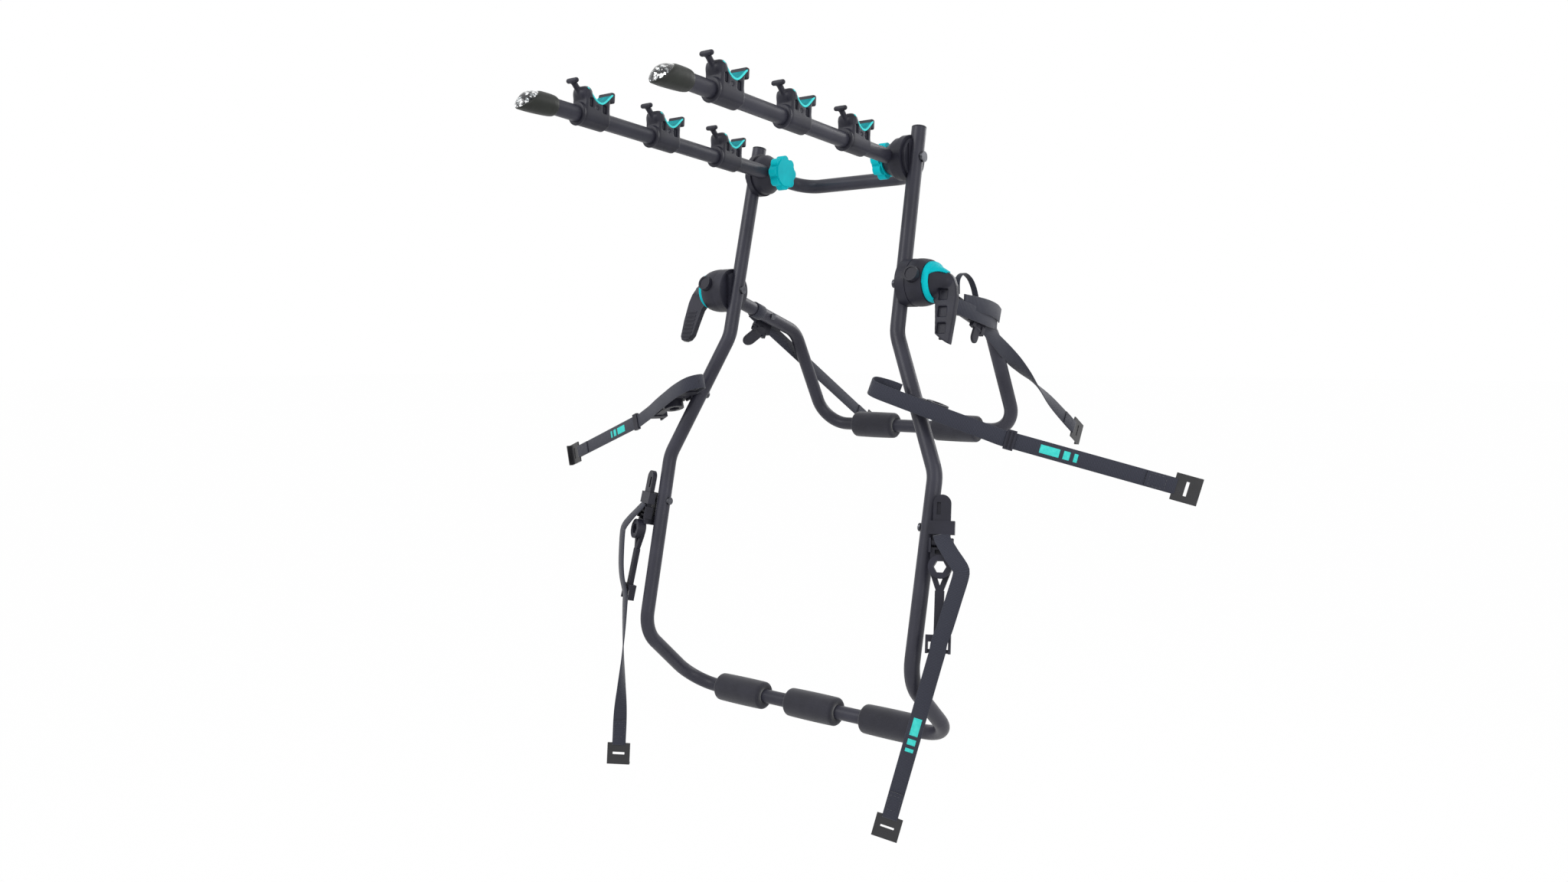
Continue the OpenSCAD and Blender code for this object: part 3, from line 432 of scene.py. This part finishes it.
for side, sign in SIDES:
    moulding(
        f"lock_ring_{side}_moulding", ring_and_visor, (-6.3, -35.2, -35.4), (28, 35, 35), 0.95,
        hub_place(sign, 0), "support", teal_abs, "teal_plastic", "lock_ring_" + side,
    )

# Clamp levers: nylon mouldings on the support hubs' bolts, a domed hub that bends over into a flat grip.
# The right one shows the pockets in one face of its grip, and the left one the ribs on the other. Their feet differ.
LEVER_TILT = {"left": -22, "right": -12}
DOME_RUN, DOME_RADIUS = (-1, 4, 10, 20, 28, 34), (27.4, 26.4, 22.5, 16.2, 12, 7)
GRIP_TOP = ((1, 8), (12, 14), (21, 14.5), (29, 11.5), (37, 4), (43, -8), (46, -24))
GRIP_FOOT = {
    "left": ((46, -60), (43.5, -92), (39, -99), (29, -100), (20, -97), (14, -88), (11, -60), (8, -38), (1, -26)),
    "right": ((45, -60), (42, -103), (37, -101), (25, -94.5), (14, -86), (11, -60), (8, -38), (1, -26)),
}
GRIP_HALF = 5.6
POCKET_DROPS, RIB_DROPS = (22, 50, 77), range(44, 96, 8)


def outline_distance(u, v, corners):
    """Distance to a flat outline, below nought inside it."""
    nearest, inside = np.full(u.shape, np.inf), np.zeros(u.shape, bool)
    for (a, b), (c, d) in zip(corners, corners[1:] + corners[:1]):
        along, rise = c - a, d - b
        share = np.clip(((u - a) * along + (v - b) * rise) / (along ** 2 + rise ** 2), 0, 1)
        nearest = np.minimum(nearest, np.hypot(u - a - share * along, v - b - share * rise))
        if rise:
            inside ^= ((v < b) != (v < d)) & (u < a + (v - b) * along / rise)
    return np.where(inside, -nearest, nearest)


def clamp_lever(x, y, z, side, pocket_face):
    """A dome on the bolt and a flat grip, with pockets in one face and ribs across the other."""
    dome = np.hypot(y, z) - np.interp(x, DOME_RUN, DOME_RADIUS)
    dome = trimmed(dome * 0.85, np.maximum(0.3 - x, x - DOME_RUN[-1]), 1.5)
    grip = trimmed(outline_distance(x, z, GRIP_TOP + GRIP_FOOT[side]), np.abs(y) - GRIP_HALF, 2.2)
    lever = joined(dome, grip, 4)
    for drop in POCKET_DROPS:
        lever = trimmed(
            lever, -rounded_box(x, y * pocket_face, z, (20 + drop * 0.06, 6, -drop), (8, 6, 8.5), 1.5), 1.0,
        )
    for drop in RIB_DROPS:
        lever = joined(lever, rod(x, y * pocket_face, z, (19, -5.2, -drop), (38, -5.2, -drop), 2.4), 0.6)
    return lever


for side, sign in SIDES:
    moulding(
        f"lever_{side}_moulding", lambda x, y, z: clamp_lever(x, y, z, side, -sign), (-2, -30, -106), (49, 30, 30),
        1.1, hub_place(sign, LEVER_TILT[side]), "lever_" + side, nylon, "black_plastic", "lever_" + side,
    )

# Bolts, rivets and screws: zinc-plated steel, through the hubs and tubes and in the cradles' side bosses.
# The plating is a dull grey, a little cloudy.
zinc = grain(
    new_material("zinc_plated_steel", Metallic=1.0),
    dark="#4c4d52", light="#63646a", patch=6, grit=0.5, roughness=(0.3, 0.44), depth=0.02,
)
dress(["pivot_bolts", "mid_bolts", "support_rivets", "tension_bolts"], zinc, edge=0.6)


def cradle_screw(x, y, z):
    """A pan head with a crossed slot, sunk in the boss on either side."""
    head = rod(np.abs(x), y, z, (12, *SCREW_SPOT), (13.6, *SCREW_SPOT), 2.9)
    slot = np.minimum(np.abs(y - SCREW_SPOT[0]), np.abs(z - SCREW_SPOT[1])) - 0.5
    return trimmed(head, -np.maximum(slot, 15 - np.abs(x)), 0.3)


for (side, i), place in cradle_places.items():
    moulding(
        f"cradle_screw_{side}_{i}", cradle_screw, (-18, -30, 8), (18, -20, 18), 0.6, place, "arms",
        zinc, "zinc_steel", *(["cradle_screws"] if (side, i) == ("left", 1) else []),
    )

# Strap hooks: folded steel plate on the end of each strap, dipped in black vinyl.
# The vinyl rounds the edges and stays glossy on the flats.
dipped_steel = grain(
    new_material("vinyl_dipped_steel", IOR=1.52),
    dark="#1b1b1e", light="#232327", patch=20, grit=1.5, roughness=(0.24, 0.36), depth=0.05,
)
dress(["hooks", "upper_hooks"], dipped_steel, edge=0.8)

# Foam sleeves: closed-cell rubber foam tube, cut to length and pushed over the cross tubes, with crushed round ends.
# They are matt, and the cut cells give a fine pitted skin, drawn a little coarse so that it shows.
FOAM_RADIUS, FOAM_BORE = 25 * MM, 12.6 * MM
FOAM_ROUND, FOAM_BARREL = 5 * MM, 0.6 * MM
foam = grain(
    new_material("closed_cell_foam", IOR=1.45, Sheen_Weight=0.25, Sheen_Roughness=0.5),
    dark="#1e1e28", light="#272732", patch=30, grit=1.4, roughness=(0.72, 0.9), depth=0.25,
)


def foam_sleeve(name, node, body):
    """A turned sleeve over the tube, a touch barrelled, with rounded ends."""
    low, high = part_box(node)
    centre, half = (low + high) / 2, (high.x - low.x) / 2
    outline = [(-half, FOAM_BORE), (-half, FOAM_RADIUS - FOAM_ROUND)]
    outline += [
        (-half + FOAM_ROUND * (1 - math.cos(a)), FOAM_RADIUS - FOAM_ROUND * (1 - math.sin(a)))
        for a in np.linspace(0.2, math.pi / 2, 6)
    ]
    rounded_end = list(outline)
    outline += [(x, FOAM_RADIUS + FOAM_BARREL * (1 - (x / half) ** 2)) for x in np.linspace(-0.8, 0.8, 9) * half]
    outline += [(-x, r) for x, r in reversed(rounded_end)]
    turns = 64
    points = [
        (centre.x + x, centre.y + r * math.cos(t), centre.z + r * math.sin(t))
        for t in np.arange(turns) * 2 * math.pi / turns for x, r in outline
    ]
    n = len(outline)
    faces = [
        (t * n + i, (t + 1) % turns * n + i, (t + 1) % turns * n + (i + 1) % n, t * n + (i + 1) % n)
        for t in range(turns) for i in range(n)
    ]
    mesh = bpy.data.meshes.new(name)
    mesh.from_pydata(points, [], faces)
    mesh.shade_smooth()
    mesh.materials.append(foam)
    sleeve = bpy.data.objects.new(name, mesh)
    bpy.context.scene.collection.objects.link(sleeve)
    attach(sleeve, body)
    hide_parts(node)


for node in ("roller_left", "roller_mid", "roller_right"):
    foam_sleeve("foam_" + node, node, "frame")
for node in ("sleeve_left", "sleeve_right"):
    foam_sleeve("foam_" + node, node, "support")

# Strap webbing: 25 mm polyester, woven in a ribbed plain weave with rolled edges.
# It is a blue black, dull face on, and each weft rib shows as a fine line across the strap: its colour is painted
# darker in the grooves between ribs and paler on their crests (painted shade and painted highlight), with a random
# fuzz.
WEB_WIDTH, WEB_THICK = 25 * MM, 2 * MM
RIB_PITCH = 2.4  # drawn half again as coarse as the real weave, so that it shows
FUZZ_SIZE, RIB_DEPTH = 0.9, 0.5
webbing, tree, shader = new_material(
    "polyester_webbing", IOR=1.5, Roughness=0.8, Sheen_Weight=0.25, Sheen_Roughness=0.4,
)
weave = add_node(tree, "ShaderNodeUVMap", uv_map="weave").outputs["UV"]
ribs = add_node(tree, "ShaderNodeTexWave", {
    "Vector": weave, "Scale": math.pi / 10 / (RIB_PITCH * MM), "Distortion": 0.5, "Detail": 1.0,
}, bands_direction="X")
fuzz = add_node(tree, "ShaderNodeTexNoise", {"Vector": weave, "Scale": 1 / (FUZZ_SIZE * MM), "Detail": 3.0})
height = add_node(tree, "ShaderNodeMath", {0: ribs.outputs["Fac"], 1: fuzz.outputs["Fac"]}, operation="MULTIPLY")
# Painted shade and highlight: the colour follows the ribs' height times the fuzz, darker in the grooves and paler on
# the crests.
shades = add_node(tree, "ShaderNodeValToRGB", {"Fac": height.outputs["Value"]})
shades.color_ramp.elements[0].color = linear("#20222e")
shades.color_ramp.elements[1].color = linear("#3b3e4e")
bump = add_node(tree, "ShaderNodeBump", {
    "Height": height.outputs["Value"], "Strength": 0.8, "Distance": RIB_DEPTH * MM,
})
tree.links.new(shades.outputs["Color"], shader.inputs["Base Color"])
tree.links.new(bump.outputs["Normal"], shader.inputs["Normal"])


def smooth_route(stations, step):
    """Points and width directions along a smooth curve through the stations, about a step apart."""
    both = np.array([[*place, *wide] for place, wide in stations], float)
    knots = np.concatenate([[0], np.cumsum(np.sqrt(np.linalg.norm(np.diff(both[:, :3], axis=0), axis=1)))])
    slopes = np.gradient(both, knots, axis=0)
    out = []
    for i in range(len(both) - 1):
        gap = knots[i + 1] - knots[i]
        count = max(2, int(np.linalg.norm(both[i + 1, :3] - both[i, :3]) / step))
        for t in np.arange(count) / count:
            out.append(
                (1 + 2 * t) * (1 - t) ** 2 * both[i] + t * (1 - t) ** 2 * gap * slopes[i]
                + t * t * (3 - 2 * t) * both[i + 1] - t * t * (1 - t) * gap * slopes[i + 1]
            )
    out = np.array(out + [both[-1]])
    return out[:, :3], out[:, 3:]


def strip_axes(points, widths):
    """Directions across the strip and out of its face at each point, and the distance run so far."""
    ahead = np.gradient(points, axis=0)
    ahead /= np.linalg.norm(ahead, axis=1)[:, None]
    across = widths - (widths * ahead).sum(1)[:, None] * ahead
    across /= np.linalg.norm(across, axis=1)[:, None]
    run = np.concatenate([[0], np.cumsum(np.linalg.norm(np.diff(points, axis=0), axis=1))])
    return across, np.cross(ahead, across), run


def strip(name, points, widths, body, wide=WEB_WIDTH, thick=WEB_THICK, lift=0.0, finish=webbing):
    """A flat woven strip with rolled edges along the points, lifted off them along its face."""
    across, face, run = strip_axes(points, widths)
    w, h = wide / 2, thick / 2
    edge = h * 0.9
    section = [
        (-w + edge, h), (0, h), (w - edge, h), (w, h * 0.3), (w, -h * 0.3),
        (w - edge, -h), (0, -h), (-w + edge, -h), (-w, -h * 0.3), (-w, h * 0.3),
    ]
    n, count = len(section), len(points)
    verts = [tuple(p + a * x + f * (y + lift)) for p, a, f in zip(points, across, face) for x, y in section]
    faces = [
        (i * n + j, (i + 1) * n + j, (i + 1) * n + (j + 1) % n, i * n + (j + 1) % n)
        for i in range(count - 1) for j in range(n)
    ]
    faces += [tuple(range(n)), tuple((count - 1) * n + j for j in reversed(range(n)))]
    mesh = bpy.data.meshes.new(name)
    mesh.from_pydata(verts, [], faces)
    mesh.shade_smooth()
    uv = mesh.uv_layers.new(name="weave")
    for loop in mesh.loops:
        i, j = divmod(loop.vertex_index, n)
        uv.data[loop.index].uv = (run[i], section[j][0])
    mesh.materials.append(finish)
    piece = bpy.data.objects.new(name, mesh)
    bpy.context.scene.collection.objects.link(piece)
    if body:
        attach(piece, body)
    return piece


# Sewing on the straps: bonded nylon thread in a box of long stitches, pulled into the weave.
# The thread is a shade paler than the webbing, and each stitch catches a little light.
STITCH_LENGTH, STITCH_GAP, THREAD = 4.2 * MM, 1.4 * MM, 0.9 * MM
STITCH_SWELL = ((0, 0.25), (0.25, 0.9), (0.5, 1.0), (0.75, 0.9), (1, 0.25))
THREAD_SIDES = 6
thread = grain(
    new_material("bonded_nylon_thread", IOR=1.53),
    dark="#3d3e46", light="#565760", patch=2, grit=0.4, roughness=(0.4, 0.6), depth=0.05,
)


def stitch_box(name, points, widths, body, start, stop, side_lines, lift):
    """Stitches round a box on the strip's face: two lines along it and two across."""
    across, face, run = strip_axes(points, widths)
    verts, faces = [], []

    def place(u):
        return [np.array([np.interp(u, run, part[:, k]) for k in range(3)]) for part in (points, across, face)]

    def stitch(a, b):
        ends = []
        for u, v in (a, b):
            p, wide, out = place(u)
            ends.append((p + wide * v + out * lift, out))
        (p, out), (q, _) = ends
        ahead = (q - p) / np.linalg.norm(q - p)
        sideways = np.cross(out, ahead)
        base = len(verts)
        for share, swell in STITCH_SWELL:
            c = p + (q - p) * share
            for k in range(THREAD_SIDES):
                t = k * 2 * math.pi / THREAD_SIDES
                verts.append(tuple(c + THREAD / 2 * swell * (sideways * math.cos(t) + out * math.sin(t))))
        last = base + (len(STITCH_SWELL) - 1) * THREAD_SIDES
        for ring in range(base, last, THREAD_SIDES):
            for k in range(THREAD_SIDES):
                a0, a1 = ring + k, ring + (k + 1) % THREAD_SIDES
                faces.append((a0, a1, a1 + THREAD_SIDES, a0 + THREAD_SIDES))
        faces.append(tuple(base + k for k in reversed(range(THREAD_SIDES))))
        faces.append(tuple(last + k for k in range(THREAD_SIDES)))

    pitch = STITCH_LENGTH + STITCH_GAP
    for v in (-side_lines, side_lines):
        for u in np.arange(start, stop - STITCH_LENGTH, pitch):
            stitch((u, v), (u + STITCH_LENGTH, v))
    for u in (start, stop):
        for v in np.arange(-side_lines, side_lines - STITCH_LENGTH + STITCH_GAP, pitch):
            stitch((u, v), (u, v + STITCH_LENGTH))
    mesh = bpy.data.meshes.new(name)
    mesh.from_pydata(verts, [], faces)
    mesh.shade_smooth()
    mesh.materials.append(thread)
    piece = bpy.data.objects.new(name, mesh)
    bpy.context.scene.collection.objects.link(piece)
    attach(piece, body)
    return piece


# Printed bars on the straps: three plain blocks of teal ink, pressed into the weave's ribs.
# The ink is thin and matt, and rough from the weave under it.
INK_BARS = ((0, 30), (36, 46), (52, 58))
BAR_WIDTH, INK_THICK = 13 * MM, 0.3 * MM
ink = grain(
    new_material("teal_ink", IOR=1.48),
    dark="#2cc9c2", light="#45d8cf", patch=5, grit=1.2, roughness=(0.6, 0.75), depth=0.15,
)

# Side straps: the webbing's slack is doubled round the ratchet's handle and lies along the ratchet's front.
# It then runs through a slider and out to the hook, where its end is folded back and sewn.
HOOK_TUCK = 34  # how far short of the hook's end the webbing stops
FOLD_BACK, FOLD_SHORT = 48 * MM, 2 * MM
STITCHED = (5 * MM, 30 * MM, 9 * MM)  # start, stop and half width of the sewn box
PROUD = 0.1 * MM  # thread and ink off the webbing
SIDE_RING = np.array([280, -59, 536])
side_z = np.array([-0.88, -0.34, 0.34])
side_z /= np.linalg.norm(side_z)
side_x = np.array([side_z[1], -side_z[0], 0]) / math.hypot(side_z[0], side_z[1])
side_y = np.cross(side_z, side_x)
SIDE_SLACK = (  # across, along and off the ratchet
    (17.5, 66, 7), (19, 82, 7), (18, 97, 6), (11, 107, 5), (-2, 110, 3), (-15, 106, 1), (-22, 95, 0), (-26, 60, 0),
    (-25.5, 20, 0), (-24, -20, 0), (-20.8, -64, 0), (-20.8, -96, 0), (-20.8, -112, 0),
)
UPRIGHT = np.array([0, 0, 1.0])
SIDE_RUN = (0.05, 0.15, 0.4, 0.7, 1.0)
side_ends = {"left": (-1, np.array([-665, 35, 410])), "right": (1, np.array([640, 105, 418]))}


def stretch(points, widths, start, stop):
    """The part of a route between two distances along it."""
    run = strip_axes(points, widths)[2]
    keep = np.concatenate([[start], run[(run > start) & (run < stop)], [stop]])
    return tuple(
        np.array([[np.interp(u, run, part[:, k]) for k in range(3)] for u in keep]) for part in (points, widths)
    )


def finished_strap(name, stations, body, node, fold_face, ink_start=0, ink_face=1, handle=None):
    """One strap: the webbing, its end folded back and sewn behind the hook, and its printed bars."""
    points, widths = smooth_route([(np.array(p) * MM, w) for p, w in stations], 4 * MM)
    length = strip_axes(points, widths)[2][-1]
    strap = strip("webbing_" + name, points, widths, None if handle else body)
    if handle:
        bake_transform(strap)
    fold = stretch(points, widths, length - FOLD_BACK, length - FOLD_SHORT)
    doubled = strip("fold_" + name, *fold, body, wide=WEB_WIDTH - 1 * MM, lift=fold_face * WEB_THICK)
    extras = [doubled, stitch_box(
        "stitches_" + name, *fold, body, *STITCHED, fold_face * (WEB_THICK * 1.5 + PROUD),
    )]
    for i, (a, b) in enumerate(INK_BARS if ink_start else ()):
        bar = stretch(points, widths, (ink_start + a) * MM, (ink_start + b) * MM)
        extras.append(strip(
            f"ink_{name}_{i + 1}", *bar, body, wide=BAR_WIDTH, thick=INK_THICK,
            lift=ink_face * (WEB_THICK / 2 + PROUD), finish=ink,
        ))
    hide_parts(node)


def hook_mouth(start, end):
    """Where a straight run to a hook stops, inside the hook's mouth."""
    return end - (end - start) / np.linalg.norm(end - start) * HOOK_TUCK


for side, (sign, end) in side_ends.items():
    stations = [
        (flip(SIDE_RING + side_x * x + side_z * z - side_y * lift, sign), -flip(side_y, sign))
        for x, z, lift in SIDE_SLACK
    ]
    last = stations[-1][0]
    mouth = hook_mouth(last, end)
    stations += [(last + (mouth - last) * share, UPRIGHT) for share in SIDE_RUN]
    finished_strap(
        "side_" + side, stations, "frame", "strap_side_" + side, fold_face=sign, ink_start=352, ink_face=sign,
    )

# Lower straps: the slack leaves the keeper on the ratchet's handle, bows out past the ring and comes back to the
# bar, from which the webbing runs down to its hook. The left one is twisted on the way.
LOWER_AT = np.array([320, -105.8, 300.75])
TURN, LEAN = math.radians(25), math.radians(12.5)
lower_x = np.array([math.cos(TURN), math.sin(TURN), 0])
lower_y = np.array([-math.sin(TURN) * math.cos(LEAN), math.cos(TURN) * math.cos(LEAN), -math.sin(LEAN)])
lower_z = np.cross(lower_x, lower_y)
LOWER_SLACK = (  # across, behind and up the ratchet
    (0, -3.4, 49.5), (2, -6.6, 43), (8, -11, 33), (18, -17, 18), (29, -21, 3), (33.5, -22, -5), (33, -22, -13),
    (24, -20.5, -46), (16, -18, -74), (9.5, -14, -95), (2.5, -8.6, -113), (0, -4.4, -127),
)
lower_ends = {"left": (-1, np.array([-341, -150, -136])), "right": (1, np.array([240, -136, -135]))}
LOWER_TURNS = {  # share of the run, and the webbing's turn in degrees
    "left": ((0.05, 154), (0.2, 146), (0.4, 128), (0.6, 98), (0.78, 62), (0.92, 38), (1, 38)),
    "right": ((0.05, 25), (0.2, 25), (0.6, 25), (1, 25)),
}
AWAY, BACK = np.array([1.0, 0, 0]), np.array([0, 1.0, 0])


def turned(a, b, degrees):
    """The direction between two square directions, so many degrees from the first."""
    return a * math.cos(math.radians(degrees)) + b * math.sin(math.radians(degrees))


for side, (sign, end) in lower_ends.items():
    stations = [
        (flip(LOWER_AT + lower_x * x + lower_y * y + lower_z * z, sign), flip(lower_x, sign))
        for x, y, z in LOWER_SLACK
    ]
    last = stations[-1][0]
    mouth = hook_mouth(last, end)
    stations += [(last + (mouth - last) * share, turned(AWAY, BACK, turn)) for share, turn in LOWER_TURNS[side]]
    finished_strap(
        "lower_" + side, stations, "frame", "strap_lower_" + side, fold_face=1, ink_start=310, ink_face=sign,
        handle="tension_handle_" + side,
    )

# Upper straps: a sewn loop round the support leg, a cam buckle, and a run to the hook on the trunk lid's edge.
# The right one turns over once on its way, and the left one stays flat.
LEG_LOOP = np.array([219, 110.49, 706.71])
LEG_DROP = math.radians(17.5)
LOOP_RADIUS = 12.5 + 0.1 + 1.0  # the tube, a small gap and half the webbing's thickness
leg_along = np.array([0, math.cos(LEG_DROP), -math.sin(LEG_DROP)])
leg_over = np.array([0, math.sin(LEG_DROP), math.cos(LEG_DROP)])
UPPER_TURNS = {  # the same for these
    "left": ((0, 0), (0.12, 0), (0.4, 0), (0.7, 0), (1, 0)),
    "right": (
        (0, 0), (0.12, 0), (0.26, 8), (0.38, 40), (0.5, 85), (0.62, 130), (0.76, 168), (0.9, 180), (1, 180),
    ),
}
UPPER_START, UPPER_END = np.array([234.05, 110.49, 706.71]), np.array([245, 556, 464])
for side, sign in SIDES:
    loop = [
        (flip(LEG_LOOP + LOOP_RADIUS * (AWAY * math.cos(t) + leg_over * math.sin(t)), sign) * MM,
         flip(leg_along, sign))
        for t in np.linspace(0.02, 2 * math.pi - 0.02, 60)
    ]
    strip("loop_upper_" + side, np.array([p for p, _ in loop]), np.array([w for _, w in loop]), "support")
    start, end = flip(UPPER_START, sign), flip(UPPER_END, sign)
    ahead = (end - start) / np.linalg.norm(end - start)
    upright = UPRIGHT - ahead * ahead[2]
    upright /= np.linalg.norm(upright)
    level = np.cross(ahead, upright)
    stop = hook_mouth(start, end)
    stations = [
        (start + (stop - start) * share, turned(upright, level, turn)) for share, turn in UPPER_TURNS[side]
    ]
    finished_strap(
        "upper_" + side, stations, "support", "strap_upper_" + side, fold_face=-sign,
    )

# Loose end of the right upper strap: webbing folded flat along the leg in two layers, with its tip left as a loop.
# The layers lie over the buckle's side.
FOLDED_END = {  # stations along, over and out from the leg, and the width
    "under": (((-30, -11, 16), (0, -10, 24), (30, -8, 29), (70, -3, 29), (104, 6, 22)), 26),
    "over": (((-12, 2, 20), (20, 8, 28), (50, 13, 32), (84, 17, 30), (106, 17, 25)), 26),
    "loop": (((-22, 12, 10), (-28, 36, 10), (-15, 51, 10), (10, 51, 10), (24, 40, 12), (32, 22, 16)), 11),
}
for layer, (spots, wide) in FOLDED_END.items():
    axis = AWAY if layer == "loop" else leg_over
    points, widths = smooth_route(
        [(LEG_LOOP + leg_along * along + leg_over * over + AWAY * out, axis) for along, over, out in spots], 3,
    )
    strip("folded_upper_right_" + layer, points * MM, widths, "support", wide=wide * MM)

# Cam tabs: nylon thumb tabs on a pin through each cam buckle's lugs, with a rounded end.
# The left one stands a little open, and both swing out to free the webbing.
TAB_PIN = np.array([240.31, 141.41, 667.59])
upper_along = (UPPER_END - UPPER_START) / np.linalg.norm(UPPER_END - UPPER_START)
upper_over = UPRIGHT - upper_along * upper_along[2]
upper_over /= np.linalg.norm(upper_over)
upper_out = np.cross(upper_along, upper_over)
TAB_FORMS = {"left": (45, 37, 14), "right": (0, 27, 10)}  # swing in degrees, reach and end radius


def cam_tab(x, y, z, reach, round_end):
    """A flat round-ended tab that hangs from a barrel on its pin."""
    plate = np.hypot(x, z - np.clip(z, 0, reach - round_end)) - round_end
    plate = trimmed(plate, np.abs(y) - 2.2, 1.2)
    barrel = joined(rod(x, y, z, (-9, 0, 0), (9, 0, 0), 3.4), rod(x, y, z, (-18, 0, 0), (18, 0, 0), 1.9), 0.5)
    return joined(plate, barrel, 1.5)


for side, sign in SIDES:
    swing, reach, round_end = TAB_FORMS[side]
    down = turned(-upper_over, upper_out, swing)
    across = turned(upper_out, upper_over, swing)
    moulding(
        f"cam_tab_{side}_moulding", lambda x, y, z: cam_tab(x, y, z, reach, round_end), (-21, -5, -16), (21, 5, 39),
        0.9, lambda q: flip(TAB_PIN + upper_along * q[0] + across * q[1] + down * q[2], sign), "cam_tab_" + side,
        nylon, "black_plastic", "cam_tab_" + side,
    )

# Studio: a white surround, with a large soft key at the camera's left, a fill from the right and a rim from behind.
# The surround is white to the camera and in reflections, and dimmer as a light on the rack.
SKY_LIGHT = 0.68
AIM = (0, -0.1, 0.5)
world = bpy.data.worlds.new("studio")
bpy.context.scene.world = world
world.use_nodes = True
tree = world.node_tree
background = tree.nodes["Background"]
rays = add_node(tree, "ShaderNodeLightPath")
seen = add_node(tree, "ShaderNodeMath", {
    0: rays.outputs["Is Camera Ray"], 1: rays.outputs["Is Glossy Ray"],
}, operation="MAXIMUM")
seen = add_node(tree, "ShaderNodeMath", {
    0: seen.outputs["Value"], 1: rays.outputs["Is Transmission Ray"],
}, operation="MAXIMUM")
level = add_node(tree, "ShaderNodeMapRange", {"Value": seen.outputs["Value"], "To Min": SKY_LIGHT, "To Max": 1.0})
background.inputs["Color"].default_value = (1, 1, 1, 1)
tree.links.new(level.outputs["Result"], background.inputs["Strength"])


def soft_light(name, place, size, power):
    """A large area lamp turned to the middle of the rack."""
    lamp = bpy.data.lights.new(name, "AREA")
    lamp.shape = "RECTANGLE"
    lamp.size, lamp.size_y, lamp.energy = *size, power
    light = bpy.data.objects.new(name, lamp)
    bpy.context.scene.collection.objects.link(light)
    light.location = place
    light.rotation_euler = (Vector(AIM) - Vector(place)).to_track_quat("-Z", "Y").to_euler()


soft_light("key", (-0.9, -2.4, 2.2), (1.6, 1.6), 38)
soft_light("fill", (2.6, -0.8, 1.2), (1.2, 2.0), 19)
soft_light("rim", (0.6, 2.4, 1.8), (1.8, 1.2), 24)

# Floor: a wide sweep of matt white paper well under the rack, which hangs on a car and never stands on it.
# It looks white to the camera and in reflections, and still takes a faint shadow.
FLOOR_HALF, FLOOR_LEVEL, FLOOR_GLOW = 60, -0.6, 0.985
floor_mesh = bpy.data.meshes.new("floor")
corners = [(-1, -1), (1, -1), (1, 1), (-1, 1)]
floor_mesh.from_pydata([(x * FLOOR_HALF, y * FLOOR_HALF, FLOOR_LEVEL) for x, y in corners], [], [(0, 1, 2, 3)])
floor = bpy.data.objects.new("floor", floor_mesh)
bpy.context.scene.collection.objects.link(floor)
paper, tree, shader = new_material("matt_white_paper", Roughness=0.9)
shader.inputs["Base Color"].default_value = linear("#f2f2f2")
rays = add_node(tree, "ShaderNodeLightPath")
seen = add_node(tree, "ShaderNodeMath", {
    0: rays.outputs["Is Camera Ray"], 1: rays.outputs["Is Glossy Ray"],
}, operation="MAXIMUM")
share = add_node(tree, "ShaderNodeMath", {0: seen.outputs["Value"], 1: FLOOR_GLOW}, operation="MULTIPLY")
glow = add_node(tree, "ShaderNodeEmission")
mix = add_node(tree, "ShaderNodeMixShader", {
    0: share.outputs["Value"], 1: shader.outputs["BSDF"], 2: glow.outputs["Emission"],
})
tree.links.new(mix.outputs["Shader"], tree.nodes["Material Output"].inputs["Surface"])
floor_mesh.materials.append(paper)

# Camera: the photograph's place and angle, worked out from the edges of the rack's own tubes.
# The focal length is in pixels of an image 2048 wide.
CAMERA = Vector((1257.57, -1686.66, 626.68)) * MM
AZIMUTH, ELEVATION = math.radians(38.13), math.radians(4.18)
FOCAL_PIXELS, IMAGE_WIDTH, SENSOR = 1576.77, 2048, 36.0
camera = bpy.data.cameras.new("camera")
camera.sensor_width = SENSOR
camera.lens = FOCAL_PIXELS / IMAGE_WIDTH * SENSOR
viewer = bpy.data.objects.new("camera", camera)
bpy.context.scene.collection.objects.link(viewer)
flat = math.cos(ELEVATION)
back = Vector((math.sin(AZIMUTH) * flat, -math.cos(AZIMUTH) * flat, math.sin(ELEVATION)))
viewer.location = CAMERA
viewer.rotation_euler = (-back).to_track_quat("-Z", "Y").to_euler()
bpy.context.scene.camera = viewer
bpy.context.scene.view_settings.view_transform = "Standard"
